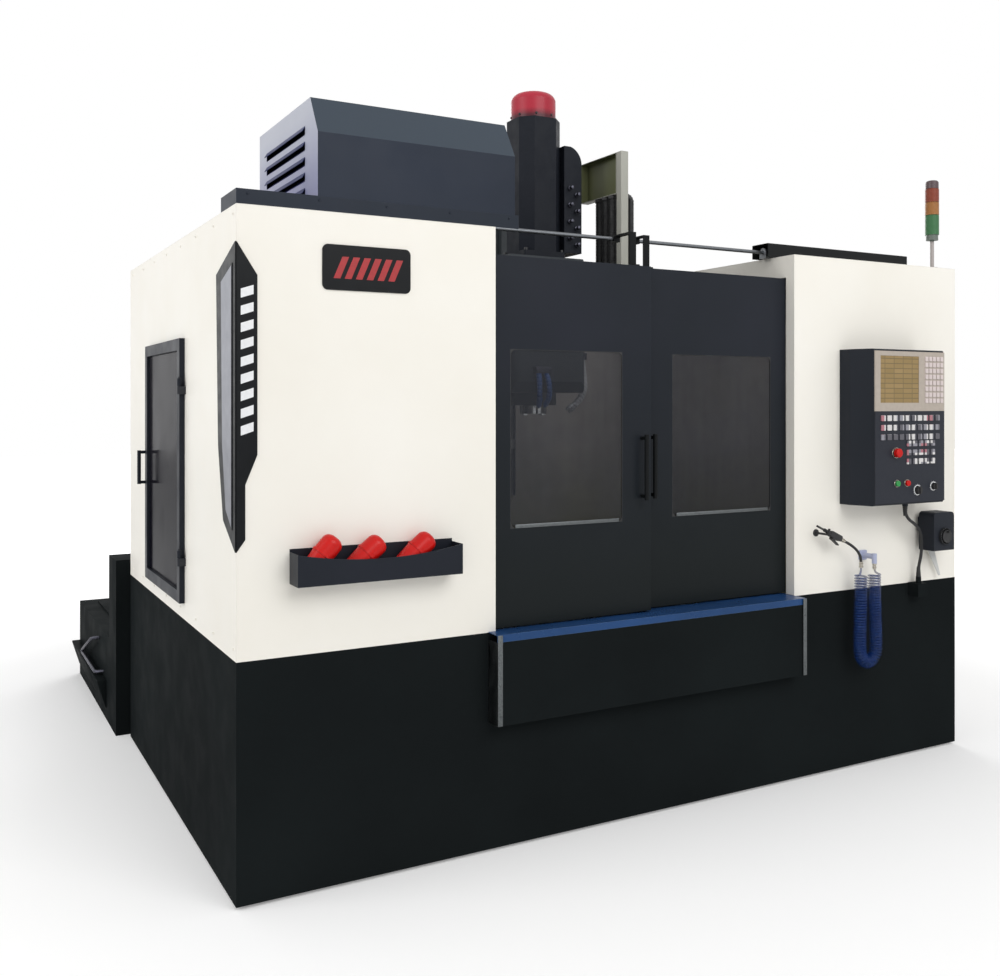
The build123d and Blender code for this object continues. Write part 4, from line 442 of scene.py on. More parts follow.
# Corner strips of the apron. Dull zinc-plated angle, 20 mm wide, screwed over the two
# front corners of the black apron, where it meets the skirt.
zinc, tree, shader, place = new_finish("zinc_plated_steel")
spangle = add_node(tree, "ShaderNodeTexVoronoi", None,
                   {"Vector": place, "Scale": 180.0}).outputs["Distance"]
spangled = add_node(tree, "ShaderNodeMix", {"data_type": "RGBA"},
                    {"Factor": spangle, "A": "#777b7c", "B": "#5c6062"}).outputs["Result"]
feed(shader, {"Base Color": spangled, "Metallic": 1.0,
              "Roughness": rough_patches(tree, place, 25.0, 0.28, 0.42)})
apron_low, apron_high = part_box("front_apron")
strips = bmesh.new()
for inner, side in ((apron_low[0], -1), (apron_high[0], 1)):
    edge = inner + side * 0.0012
    low_x, high_x = sorted((edge, edge - side * 0.020))
    block(strips, (low_x, apron_low[1] - 0.0012, apron_low[2] + 0.002),
          (high_x, apron_low[1] + 0.0002, 0.8105), 0.0005)
    low_x, high_x = sorted((edge, edge - side * 0.0012))
    block(strips, (low_x, apron_low[1] - 0.0008, apron_low[2] + 0.002),
          (high_x, front_y - 0.001, 0.7835), 0.0004)
    for height in (0.52, 0.63, 0.74):
        screw_head(strips, (edge - side * 0.010, apron_low[1] - 0.0012, height), (0, -1, 0),
                   0.0035)
make_piece(strips, "apron_corner_strips", zinc)

# Door sill. The folded sheet that the doors run over, sprayed blue and pale along its
# edges: partly worn where chips and boots rub along its front fold, partly a painted
# highlight where the edges catch the light.
sill_enamel = sprayed_enamel("blue_gloss_enamel", "#24497c", "#1d3b62", 0.3, 0.003, 0.00006,
                             "#6f8aa8", 0.8, 0.2)
coat(sill_enamel, "door_sill")

# Levelling feet. Turned and ground mild steel, left bare and oiled.
ground_steel, tree, shader, place = new_finish("ground_steel")
drawn_out = add_node(tree, "ShaderNodeMapping", None,
                     {"Vector": place, "Scale": (20, 900, 900)}).outputs["Vector"]
lines = add_node(tree, "ShaderNodeTexNoise", None,
                 {"Vector": drawn_out, "Scale": 1.0}).outputs["Fac"]
lined = add_node(tree, "ShaderNodeMix", {"data_type": "RGBA"},
                 {"Factor": lines, "A": "#a3a5a2", "B": "#8a8c88"}).outputs["Result"]
grooves = add_node(tree, "ShaderNodeBump", None,
                   {"Height": lines, "Strength": 0.3, "Distance": 0.00003}).outputs["Normal"]
feed(shader, {"Base Color": lined, "Metallic": 1.0, "Normal": grooves,
              "Roughness": rough_patches(tree, place, 12.0, 0.24, 0.4)})
coat(ground_steel, "levelling_feet", "axis_drives", "table", "changer_arm", "door_rail",
     "tool_drum")


# Castings. Grey iron, filled and brushed with machine-tool enamel, so its skin is slightly
# lumpy. The slideways on the bed and the column are ground bare.
def inside(tree, place, low, high):
    """1 within a box of the object's own coordinates and 0 outside it."""
    middle = [(a + b) / 2 for a, b in zip(low, high)]
    off = add_node(tree, "ShaderNodeVectorMath", {"operation": "SUBTRACT"},
                   {0: place, 1: middle}).outputs["Vector"]
    away = add_node(tree, "ShaderNodeVectorMath", {"operation": "ABSOLUTE"},
                    {0: off}).outputs["Vector"]
    parts = add_node(tree, "ShaderNodeSeparateXYZ", None, {"Vector": away})
    mask = 1.0
    for axis, a, b in zip("XYZ", low, high):
        within = add_node(tree, "ShaderNodeMath", {"operation": "LESS_THAN"},
                          {0: parts.outputs[axis], 1: (b - a) / 2}).outputs["Value"]
        mask = add_node(tree, "ShaderNodeMath", {"operation": "MULTIPLY"},
                        {0: mask, 1: within}).outputs["Value"]
    return mask


def rise(tree, place, low, high, most=1.0):
    """Grows from 0 to most between two heights."""
    height = add_node(tree, "ShaderNodeSeparateXYZ", None, {"Vector": place}).outputs["Z"]
    return add_node(tree, "ShaderNodeMapRange", None,
                    {"Value": height, "From Min": low, "From Max": high,
                     "To Max": most}).outputs["Result"]


def overpaint(finish, colour, box=None, heights=None, name=None):
    """Lays a colour over a finish, in a box or between heights. A name makes it a copy."""
    if name:
        finish = finish.copy()
        finish.name = name
    tree = finish.node_tree
    shader = tree.nodes["Principled BSDF"]
    tone = shader.inputs["Base Color"].links[0].from_socket
    place = add_node(tree, "ShaderNodeTexCoord").outputs["Object"]
    where = inside(tree, place, *box) if box else rise(tree, place, *heights)
    painted = add_node(tree, "ShaderNodeMix", {"data_type": "RGBA"},
                       {"Factor": where, "A": tone, "B": colour})
    feed(shader, {"Base Color": painted.outputs["Result"]})
    return finish


def painted_casting(name, colour, shade, bare=None, gloss=0.3):
    """Brushed enamel on grey iron, with an optional box where the iron is ground bare."""
    material, tree, shader, place = new_finish(name)
    lumps = add_node(tree, "ShaderNodeTexNoise", None,
                     {"Vector": place, "Scale": 55.0, "Detail": 4.0}).outputs["Fac"]
    paint = add_node(tree, "ShaderNodeMix", {"data_type": "RGBA"},
                     {"Factor": lumps, "A": colour, "B": shade}).outputs["Result"]
    skin = add_node(tree, "ShaderNodeBump", None,
                    {"Height": lumps, "Strength": 0.35, "Distance": 0.0008}).outputs["Normal"]
    if bare:
        ground = inside(tree, place, *bare)
        paint = add_node(tree, "ShaderNodeMix", {"data_type": "RGBA"},
                         {"Factor": ground, "A": paint, "B": "#a8aaa6"}).outputs["Result"]
        feed(shader, {"Metallic": ground})
    feed(shader, {"Base Color": paint, "Normal": skin, "Specular IOR Level": gloss,
                  "Roughness": rough_patches(tree, place, 18.0, 0.4, 0.56)})
    return material


side_sheet = overpaint(white_enamel, "#24262c", box=((-1.76, -0.93, 0.9), (-1.7167, -0.84, 1.8)),
                       name="warm_white_enamel_and_black_hinges")
coat(side_sheet, "left_side_panel")
bed_paint = painted_casting("grey_iron_enamel_bed", "#8b908c", "#7c817e",
                            ((-0.5, -1.3, 0.6), (0.42, 0.2, 0.64)))
column_paint = painted_casting("dark_enamel_column", "#474c50", "#3d4246",
                               ((-0.3, -0.12, 1.1), (0.22, -0.034, 2.2)))
iron_paint = painted_casting("grey_iron_enamel", "#8b908c", "#7c817e")
coat(bed_paint, "bed_casting")
coat(column_paint, "column")
coat(iron_paint, "saddle", "changer_frame")
head_paint = painted_casting("dark_enamel_on_casting", "#3c4145", "#34383c")
coat(head_paint, "spindle_head")

# Work chamber. Sheet steel sprayed warm grey. Coolant runs down it in streaks and leaves it
# olive towards the floor.
chamber_paint, tree, shader, place = new_finish("coolant_streaked_enamel")
stretched = add_node(tree, "ShaderNodeMapping", None,
                     {"Vector": place, "Scale": (9, 9, 0.8)}).outputs["Vector"]
streaks = add_node(tree, "ShaderNodeTexNoise", None,
                   {"Vector": stretched, "Scale": 1.5, "Detail": 5.0}).outputs["Fac"]
washed = add_node(tree, "ShaderNodeMix", {"data_type": "RGBA"},
                  {"Factor": streaks, "A": "#bdb8b4", "B": "#8f8984"}).outputs["Result"]
stained = add_node(tree, "ShaderNodeMix", {"data_type": "RGBA"},
                   {"Factor": rise(tree, place, 1.45, 1.0, 0.75), "A": washed,
                    "B": "#8a8762"}).outputs["Result"]
feed(shader, {"Base Color": stained, "Roughness": rough_patches(tree, place, 5.0, 0.35, 0.6)})
coat(chamber_paint, "chamber_walls", "bay_wall")

# Lamp clips. Four clips of bent zinc-plated strip, screwed to the side walls just behind the
# doors, hold the chamber's two tube lights. The tubes themselves aren't modelled.
lamp_holders = bmesh.new()
chamber_right_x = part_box("chamber_walls")[1][0]
bay_wall_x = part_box("bay_wall")[1][0]
for wall_x, inwards, lamp_y, lamp_z in ((chamber_right_x, -1, -1.34, 1.36),
                                        (bay_wall_x, 1, -1.40, 1.42)):
    axis_x = wall_x + inwards * 0.036
    for clip_z in (lamp_z + 0.1, lamp_z + 0.58):
        low_x, high_x = sorted((wall_x + inwards * 0.0005, wall_x + inwards * 0.004))
        block(lamp_holders, (low_x, lamp_y - 0.026, clip_z - 0.012),
              (high_x, lamp_y + 0.026, clip_z + 0.012), 0.001)
        turned(lamp_holders, [(0.0192, 0), (0.0225, 0), (0.0225, 0.02), (0.0192, 0.02),
                              (0.0192, 0)], (axis_x, lamp_y, clip_z - 0.01), (0, 0, 1))
        low_x, high_x = sorted((wall_x + inwards * 0.003, wall_x + inwards * 0.016))
        block(lamp_holders, (low_x, lamp_y - 0.008, clip_z - 0.006),
              (high_x, lamp_y + 0.008, clip_z + 0.006), 0.001)
make_piece(lamp_holders, "lamp_clips", zinc)

# Doors. Folded sheet doors sprayed dark slate, smooth and a little glossier than the base.
# The sliding ones are darker towards the foot.
door_enamel = sprayed_enamel("slate_black_enamel", "#24272f", "#1f2329", 0.36, 0.004, 0.00005,
                             "#4a515b", 0.35, 0.12)
coat(door_enamel, "side_door", "tool_tray")
sliding_enamel = overpaint(door_enamel, "#161b1a", heights=(1.9, 0.95, 0.8),
                           name="slate_black_enamel_of_sliding_doors")
coat(sliding_enamel, "left_door", "right_door")

# Door windows. Laminated safety glass, clear but dimmed by a film of oil mist on its
# inside, so it shows the chamber darkly and the room faintly.
window_glass, tree, shader, place = new_finish("laminated_safety_glass")
mist = add_node(tree, "ShaderNodeTexNoise", None,
                {"Vector": place, "Scale": 3.5, "Detail": 6.0}).outputs["Fac"]
misted = add_node(tree, "ShaderNodeMapRange", None,
                  {"Value": mist, "From Min": 0.35, "From Max": 0.7,
                   "To Min": 0.24, "To Max": 0.4}).outputs["Result"]
feed(shader, {"Base Color": "#3b3d43", "Alpha": misted, "Specular IOR Level": 0.15,
              "Roughness": rough_patches(tree, place, 4.0, 0.05, 0.12)})
coat(window_glass, "left_door_window", "right_door_window")


# Window seals. Black rubber profiles pressed round each pane, with a steel drip strip at
# the foot, and a flat rubber lip on the left door's free edge, which laps the right door.
def seal_ring(bm, low, high, y, radius=0.03, band=0.014, proud=0.003):
    """A rounded frame that lies on an upright front face, between two corners."""
    part = bmesh.new()
    bmesh.ops.create_grid(part, x_segments=1, y_segments=1, size=0.5)
    bmesh.ops.scale(part, vec=(high[0] - low[0], high[1] - low[1], 1), verts=part.verts)
    bmesh.ops.bevel(part, geom=part.verts[:], offset=radius, segments=6, affect="VERTICES",
                    profile=0.5, material=-1)
    part.normal_update()
    bmesh.ops.inset_individual(part, faces=part.faces[:], thickness=band,
                               use_even_offset=True)
    pane = max(part.faces, key=lambda face: len(face.verts))
    bmesh.ops.delete(part, geom=[pane], context="FACES")
    bmesh.ops.solidify(part, geom=part.faces[:], thickness=proud)
    bmesh.ops.recalc_face_normals(part, faces=part.faces)
    turn = Matrix.Rotation(radians(90), 4, "X")
    lift = max(v.co.z for v in part.verts)
    join(bm, part, Matrix.Translation(((low[0] + high[0]) / 2, y - lift + 0.0002,
                                       (low[1] + high[1]) / 2)) @ turn)


seal_rubber = rubber("window_seal_rubber", "#101112")
seal_inset, seal_corner, seal_band = 0.004, 0.035, 0.013
for door in ("left_door", "right_door"):
    door_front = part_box(door)[0][1]
    pane_low, pane_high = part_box(door + "_window")
    seal = bmesh.new()
    seal_ring(seal, (pane_low[0] + seal_inset, pane_low[2] + seal_inset),
              (pane_high[0] - seal_inset, pane_high[2] - seal_inset), door_front,
              seal_corner, seal_band)
    if door == "left_door":
        block(seal, (-0.0445, door_front + 0.024, 0.822), (-0.0245, door_front + 0.036, 2.196),
              0.003)
    make_piece(seal, door + "_seal", seal_rubber, door)
    trim = bmesh.new()
    # The drip strip lies on the door's face, 16 mm above the pane's foot.
    block(trim, (pane_low[0] + 0.034, door_front - 0.004, pane_low[2] + 0.016),
          (pane_high[0] - 0.034, door_front + 0.0002, pane_low[2] + 0.030), 0.001)
    make_piece(trim, door + "_window_trim", zinc, door)

# Door handles, rods and brackets. Drawn steel bar: the rods are hard chromed, and the
# handles are sprayed black.
chrome = speckled("hard_chrome", "#c8cacc", "#b3b6b8", 15.0, (30.0, 0.1, 0.2), 1.0)
coat(chrome, "spindle")

for side in ("left", "right"):
    material, tree, shader, place = new_finish(side + "_chromed_and_painted_bar")
    rod = inside(tree, place, (-1.5, -1.478, 2.318), (1.6, -1.462, 2.334))
    bar = add_node(tree, "ShaderNodeMix", {"data_type": "RGBA"},
                   {"Factor": rod, "A": "#141617", "B": "#707377"}).outputs["Result"]
    feed(shader, {"Base Color": bar, "Metallic": rod, "Specular IOR Level": 0.1,
                  "Roughness": rough_patches(tree, place, 22.0, 0.34, 0.46)})
    coat(material, side + "_door_fittings")

# Door cylinders. Extruded aluminium barrels, natural anodised.
anodised = speckled("anodised_aluminium", "#b9bcc0", "#9da1a6", 5.0, (14.0, 0.32, 0.45), 1.0,
                    stretch=(6, 400, 400))
coat(anodised, "door_cylinders")

# Side door glass. Smoked polycarbonate, painted lighter towards its top as a painted
# reflection, and darker and bluer towards its foot.
tinted_pane, tree, shader, place = new_finish("tinted_polycarbonate")
film = add_node(tree, "ShaderNodeTexNoise", None, {"Vector": place, "Scale": 8.0}).outputs["Fac"]
smoke = add_node(tree, "ShaderNodeMix", {"data_type": "RGBA"},
                 {"Factor": film, "A": "#302f33", "B": "#28272c"}).outputs["Result"]
painted_reflection_fade = add_node(tree, "ShaderNodeMix", {"data_type": "RGBA"},
                 {"Factor": rise(tree, place, 1.85, 1.15), "A": smoke,
                  "B": "#100f18"}).outputs["Result"]
feed(shader, {"Base Color": painted_reflection_fade, "Roughness": rough_patches(tree, place, 6.0, 0.1, 0.2),
              "Alpha": 0.94, "Specular IOR Level": 0.02})
coat(tinted_pane, "side_door_window")


# Roof covers and louvred housing. Folded sheet sprayed slate blue, and black over the right
# door's cylinder. On the housing, upward faces are painted lighter as a painted highlight, the
# left side is painted pale lavender grey as painted light and darker downwards as painted
# shade, and the blades in the slots are painted navy as painted shade. A pressed hood hangs
# over each slot, painted navy as painted shade for the dark of the slot.
def flat_shape(bm, outline, thickness, matrix):
    """A flat cut shape with a thickness, from its outline."""
    part = bmesh.new()
    part.faces.new([part.verts.new((a, b, 0)) for a, b in outline])
    part.normal_update()
    bmesh.ops.solidify(part, geom=part.faces[:], thickness=thickness)
    bmesh.ops.recalc_face_normals(part, faces=part.faces)
    join(bm, part, matrix)


slate_enamel = sprayed_enamel("slate_blue_enamel", "#272d38", "#232932", 0.38, 0.004, 0.00006,
                              "#5a6170", 0.4, 0.12)
coat(slate_enamel, "roof_covers")
overpaint(slate_enamel, "#191b1c", box=((0.6, -1.7, 2.29), (1.7, -1.3, 2.4)))
cover_screws = bmesh.new()
for step in range(5):
    screw_head(cover_screws, (-1.68 + 0.245 * step, front_y, 2.335), (0, -1, 0), 0.0045)
    screw_head(cover_screws, (0.76 + 0.2 * step, -1.4155, 2.331), (0, 1, 0), 0.0045)
make_piece(cover_screws, "cover_screws", slate_enamel)
housing_low, housing_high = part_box("louvred_housing")
housing_enamel = sprayed_enamel("slate_blue_enamel_with_painted_light_and_shade", "#29303d", "#252b36", 0.38,
                                gloss=0.12)
tree = housing_enamel.node_tree
shader = tree.nodes["Principled BSDF"]
coords = add_node(tree, "ShaderNodeTexCoord")
facing = add_node(tree, "ShaderNodeSeparateXYZ", None, {"Vector": coords.outputs["Normal"]})
left_facing = add_node(tree, "ShaderNodeMath", {"operation": "LESS_THAN"},
                       {0: facing.outputs["X"], 1: -0.6}).outputs["Value"]
# Faces that look upwards are painted lighter: a painted highlight.
up_facing = add_node(tree, "ShaderNodeMath", {"operation": "GREATER_THAN"},
                     {0: facing.outputs["Z"], 1: 0.15}).outputs["Value"]
slate_tone = shader.inputs["Base Color"].links[0].from_socket
dust_and_painted_highlight = add_node(tree, "ShaderNodeMix", {"data_type": "RGBA"},
                 {"Factor": up_facing, "A": slate_tone, "B": "#3f4852"}).outputs["Result"]
# The left faces are painted pale lavender grey, paler towards the top: painted light on the lit
# side, painted shade lower down.
painted_lit_side_fade = add_node(tree, "ShaderNodeMix", {"data_type": "RGBA"},
                    {"Factor": rise(tree, coords.outputs["Object"], 2.38, 2.66),
                     "A": "#8688a8", "B": "#b4b7c2"}).outputs["Result"]
painted_lit_side = add_node(tree, "ShaderNodeMix", {"data_type": "RGBA"},
                     {"Factor": left_facing, "A": dust_and_painted_highlight, "B": painted_lit_side_fade}).outputs["Result"]
# The blades just inside the slots are painted navy: painted shade standing for the dark in the
# slots.
behind = inside(tree, coords.outputs["Object"],
                (housing_low[0] + 0.0015, housing_low[1] + 0.12, housing_low[2] + 0.01),
                (housing_low[0] + 0.06, housing_high[1] - 0.06, housing_high[2] - 0.06))
housing_tone_with_painted_light = add_node(tree, "ShaderNodeMix", {"data_type": "RGBA"},
                        {"Factor": behind, "A": painted_lit_side, "B": "#3f4274"}).outputs["Result"]
feed(shader, {"Base Color": housing_tone_with_painted_light})
coat(housing_enamel, "louvred_housing")
# The hoods are painted navy as painted shade, standing for the dark of the slots.
navy_painted_slot_shade = sprayed_enamel("navy_painted_slot_shade", "#232c5a", "#1e264e", 0.4, gloss=0.12)
hoods = bmesh.new()
for row in range(5):
    slot_top = 2.383 + 0.054 * row + 0.0155
    hood = [(0.0008, 0.004), (-0.009, -0.013), (-0.009, -0.0155), (-0.0075, -0.0155),
            (0.0008, -0.002)]
    flat_shape(hoods, [(housing_low[0] + out, slot_top + up) for out, up in hood], 0.468,
               Matrix.Translation((0, -1.499, 0)) @ Matrix.Rotation(radians(90), 4, "X"))
make_piece(hoods, "louvre_hoods", navy_painted_slot_shade)

# Corner trim and name plate. Black ABS plates; the trim has a silver band on its side face,
# and both carry plain slanted bars where a maker would put a name.
black_abs = speckled("black_gloss_abs", "#0f1113", "#17191c", 20.0, (26.0, 0.28, 0.38),
                     gloss=0.15)
coat(black_abs, "badge_plates")
silver_film = speckled("silver_film", "#a3a5ad", "#84868f", 5.0, 0.35, 0.7,
                       stretch=(300, 4, 4))
white_film = speckled("white_printed_film", "#f0f1f2", "#dcdee0", 90.0, 0.4)
red_film = speckled("red_printed_film", "#b01c22", "#8f1419", 90.0, 0.35)
# The flat shapes are drawn as seen from the front, or from the left side.
on_front = Matrix.Translation((left_x, front_y - 0.0045, 0)) @ Matrix.Rotation(
    radians(90), 4, "X")
on_left = Matrix.Translation((left_x - 0.0066, front_y, 0)) @ Matrix.Rotation(
    radians(-90), 4, "Z") @ Matrix.Rotation(radians(90), 4, "X") @ Matrix.Scale(-1, 4, (1, 0, 0))
bars = bmesh.new()
for row in range(9):
    foot = 1.545 + row * 0.056
    flat_shape(bars, [(0.014, foot), (0.056, foot + 0.014), (0.056, foot + 0.044),
                      (0.014, foot + 0.030)], 0.0008, on_front)
make_piece(bars, "trim_bars", white_film)
design = bmesh.new()
for column in range(6):
    start = 0.330 + column * 0.040
    flat_shape(design, [(start, 2.075), (start + 0.024, 2.075), (start + 0.056, 2.150),
                        (start + 0.032, 2.150)], 0.0008, on_front)
make_piece(design, "name_plate_bars", red_film)
band = bmesh.new()
flat_shape(band, [(0.036, 2.102), (0.172, 2.061), (0.155, 1.515), (0.108, 1.295),
                  (0.036, 1.243)], 0.0008, on_left)
make_piece(band, "trim_band", silver_film)

# Tool cups. Injection-moulded red plastic, glossy, in a tray sprayed as the doors are.
red_moulding = speckled("red_moulded_abs", "#cf1712", "#b3100c", 18.0, (24.0, 0.26, 0.38),
                        gloss=0.25)
coat(red_moulding, "tool_cups", "emergency_stop_button", "feed_hold_button")


# Signal tower. Three ribbed polycarbonate lenses: green below, amber, and red on top.
def plain_bands(bands, first, *steps):
    """Sets a ramp's plain bands: the first colour, then pairs of a start and a colour."""
    ramp = bands.color_ramp
    ramp.interpolation = "CONSTANT"
    ramp.elements[0].color = linear(first)
    ramp.elements[1].position = steps[0][0]
    ramp.elements[1].color = linear(steps[0][1])
    for start, colour in steps[1:]:
        ramp.elements.new(start).color = linear(colour)
    return bands.outputs["Color"]


lens, tree, shader, place = new_finish("ribbed_lamp_lens")
lens_bands = add_node(tree, "ShaderNodeValToRGB", None, {"Fac": rise(tree, place, 2.466, 2.690)})
lamp_tones = plain_bands(lens_bands, "#3f6f49", (0.4286, "#9c6a3c"), (0.7054, "#83402f"))
ribs = add_node(tree, "ShaderNodeTexWave", {"bands_direction": "Z"},
                {"Vector": place, "Scale": 55.0}).outputs["Fac"]
ribbed = add_node(tree, "ShaderNodeBump", None,
                  {"Height": ribs, "Strength": 0.7, "Distance": 0.0012}).outputs["Normal"]
feed(shader, {"Base Color": lamp_tones, "Normal": ribbed, "Roughness": 0.3,
              "Specular IOR Level": 0.25})
coat(lens, "signal_lamps")

# Tower post. The tube is natural aluminium; the cap and the socket are moulded plastic, the
# cap dark brown and the socket grey.
tower_post, tree, shader, place = new_finish("aluminium_tube_and_moulded_ends")
post_bands = add_node(tree, "ShaderNodeValToRGB", None, {"Fac": rise(tree, place, 2.30, 2.73)})
post_tones = plain_bands(post_bands, "#a39c9a", (0.31, "#5f6861"), (0.9, "#4d3c3f"))
scratches = add_node(tree, "ShaderNodeTexNoise", None,
                     {"Vector": place, "Scale": 70.0}).outputs["Fac"]
scratched = add_node(tree, "ShaderNodeBump", None,
                     {"Height": scratches, "Strength": 0.2, "Distance": 0.0002})
feed(shader, {"Base Color": post_tones, "Normal": scratched.outputs["Normal"],
              "Roughness": rough_patches(tree, place, 40.0, 0.35, 0.5)})
coat(tower_post, "signal_tower_post")

# Spindle motor, its cap and the pack beside it. Aluminium castings sprayed black, with a
# crimson fan cowl on top.
motor_paint = painted_casting("black_enamel_on_casting", "#1a1d24", "#20232a", gloss=0.12)
coat(motor_paint, "spindle_motor", "head_pack")
crimson_enamel = sprayed_enamel("crimson_enamel", "#b52f40", "#9c2636", 0.34, 0.003, 0.00008,
                                "#d07a86", 0.3, 0.25)
# The cowl's foot is painted dark crimson, fading upwards: painted shade along its lower edge.
overpaint(crimson_enamel, "#54202a", heights=(3.045, 3.012))
coat(crimson_enamel, "motor_cap")

# Motor fittings and drain. Blackened socket screws hold the motor's flange to the head and
# the cowl to the motor. The unions on the pack and the tank's bent drain are dull nickel.
black_oxide = speckled("black_oxide_steel", "#1d1e20", "#2c2d30", 50.0, (60.0, 0.35, 0.5))
dull_nickel = speckled("dulled_nickel", "#5c5c68", "#44454c", 60.0, (60.0, 0.35, 0.5), 1.0)
drain = bmesh.new()
drain_line = [Vector((tank_left_x + out, y, z)) for out, y, z in (
    (0.002, 1.02, 0.375), (-0.030, 1.02, 0.375), (-0.038, 1.04, 0.368), (-0.040, 1.22, 0.300),
    (-0.040, 1.375, 0.242), (-0.040, 1.395, 0.232), (-0.040, 1.375, 0.226),
    (-0.040, 1.10, 0.226), (-0.040, 0.89, 0.226), (-0.032, 0.87, 0.226),
    (0.002, 0.865, 0.226))]
tube_along(drain, drain_line, [0.009] * len(drain_line), 16)
make_piece(drain, "tank_drain_pipe", dull_nickel, sharp=60)
bolts = bmesh.new()
spindle_x, spindle_y = -0.038, -0.687
for side_x in (-0.098, 0.098):
    for side_y in (-0.098, 0.098):
        turned(bolts, [(0, 0), (0.009, 0), (0.009, 0.011), (0.008, 0.012), (0.0048, 0.012),
                       (0.0048, 0.006), (0, 0.006)],
               (spindle_x + side_x, spindle_y + side_y, 2.368), steps=24)
for n in range(8):
    way = Matrix.Rotation(2 * pi * (n + 0.5) / 8, 3, "Z") @ Vector((1, 0, 0))
    screw_head(bolts, Vector((spindle_x, spindle_y, 3.018)) + way * 0.107, way, 0.006)
make_piece(bolts, "motor_bolts", black_oxide, "spindle_head")
unions = bmesh.new()
pack_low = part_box("head_pack")[0]
union = [(0, 0), (0.011, 0), (0.011, 0.008), (0.0085, 0.009), (0.0085, 0.02), (0.0098, 0.021),
         (0.0098, 0.030), (0.006, 0.032), (0, 0.032)]
for height in (2.68, 2.60, 2.52, 2.44):
    for inset, drop in ((0.030, 0), (0.068, 0.03)):
        turned(unions, union, (pack_low[0] + inset, pack_low[1], height - drop), (0, -1, 0),
               steps=6)
make_piece(unions, "pack_unions", dull_nickel, "spindle_head")


# Coolant nozzles. Ball-jointed plastic hoses, 26 mm thick, screwed into two small nickelled
# manifolds on the head: two grey ones at its right side and two blue ones at its front.
def jointed_hose(bm, points, radius=0.013, pitch=0.017):
    """A hose of ball-jointed links along a bent line, with a tapered nozzle at its end."""
    run = sum((b - a).length for a, b in zip(points, points[1:]))
    count = int(run / pitch)
    for n in range(count):
        foot, way = at_length(points, n * pitch)
        turned(bm, [(0, 0), (radius * 0.8, 0), (radius, pitch * 0.22), (radius, pitch * 0.62),
                    (radius * 0.72, pitch * 0.97), (0, pitch * 0.97)], foot, way, steps=16)
    foot, way = at_length(points, count * pitch)
    turned(bm, [(0, 0), (radius * 0.9, 0), (radius, 0.004), (radius * 0.4, 0.024),
                (radius * 0.3, 0.024), (0, 0.018)], foot, way, steps=16)


def smooth_line(points, steps=8):
    """More points on the soft curve through a few."""
    line = [Vector(point) for point in points]
    line = [line[0] * 2 - line[1]] + line + [line[-1] * 2 - line[-2]]
    curve = []
    for a, b, c, d in zip(line, line[1:], line[2:], line[3:]):
        for step in range(steps):
            t = step / steps
            curve.append((b * 2 + (c - a) * t + (a * 2 - b * 5 + c * 4 - d) * t ** 2
                          + (b * 3 - a - c * 3 + d) * t ** 3) / 2)
    return curve + [line[-2]]


grey_links = speckled("grey_acetal_links", "#d6d7da", "#aeb0b5", 45.0, (50.0, 0.3, 0.45))
blue_links = speckled("blue_acetal_links", "#3f6cb4", "#2d5290", 45.0, (50.0, 0.3, 0.45))
grey_hoses = bmesh.new()
for route in ([(0.177, -0.785, 1.862), (0.186, -0.79, 1.76), (0.165, -0.775, 1.67),
               (0.115, -0.75, 1.622)],
              [(0.177, -0.735, 1.862), (0.222, -0.74, 1.76), (0.212, -0.73, 1.68),
               (0.160, -0.72, 1.622)]):
    jointed_hose(grey_hoses, smooth_line(route))
make_piece(grey_hoses, "grey_coolant_hoses", grey_links, "spindle_head")
blue_hoses = bmesh.new()
for route in ([(-0.118, -0.871, 1.792), (-0.124, -0.890, 1.74), (-0.118, -0.880, 1.68),
               (-0.100, -0.845, 1.645)],
              [(-0.078, -0.871, 1.792), (-0.074, -0.892, 1.74), (-0.070, -0.885, 1.68),
               (-0.064, -0.845, 1.645)]):
    jointed_hose(blue_hoses, smooth_line(route))
make_piece(blue_hoses, "blue_coolant_hoses", blue_links, "spindle_head")
manifolds = bmesh.new()
block(manifolds, (0.1615, -0.805, 1.858), (0.193, -0.715, 1.892), 0.003)
block(manifolds, (-0.140, -0.888, 1.788), (-0.056, -0.8545, 1.818), 0.003)
for bolt_x in (-0.132, -0.064):
    turned(manifolds, [(0, 0), (0.006, 0), (0.006, 0.006), (0.003, 0.006), (0.003, 0.003),
                       (0, 0.003)], (bolt_x, -0.888, 1.803), (0, -1, 0), steps=16)
make_piece(manifolds, "coolant_manifolds", dull_nickel, "spindle_head")

# Cable post. Square steel tube and a folded channel box, sprayed light grey. Inside the
# channel box, where the conduits run, it is painted dark olive as painted shade.
post_enamel = sprayed_enamel("light_grey_enamel_with_painted_shade_inside", "#b4b4ab", "#a8a89f", 0.38)
overpaint(post_enamel, "#686c4c", box=((0.2875, -0.911, 2.652), (0.3285, -0.611, 2.8435)))
coat(post_enamel, "cable_post")

# Cable conduits. Corrugated black polyamide, 42 mm and 26 mm, pushed into nuts at both ends.
conduit_skin = rubber("corrugated_polyamide", "#17181a")
shelf_top_z, channel_foot_z = 2.246, 2.650
post_x, post_y, post_half = 0.308, -0.935, 0.021


def corrugations(radius, length, pitch=0.0075):
    """Radii and heights of a corrugated tube, rib after rib."""
    outline = []
    for rib in range(int(length / pitch)):
        foot = rib * pitch
        outline += [(radius, foot), (radius, foot + pitch * 0.45),
                    (radius * 0.88, foot + pitch * 0.6), (radius * 0.88, foot + pitch * 0.85)]
    return outline + [(radius, length)]


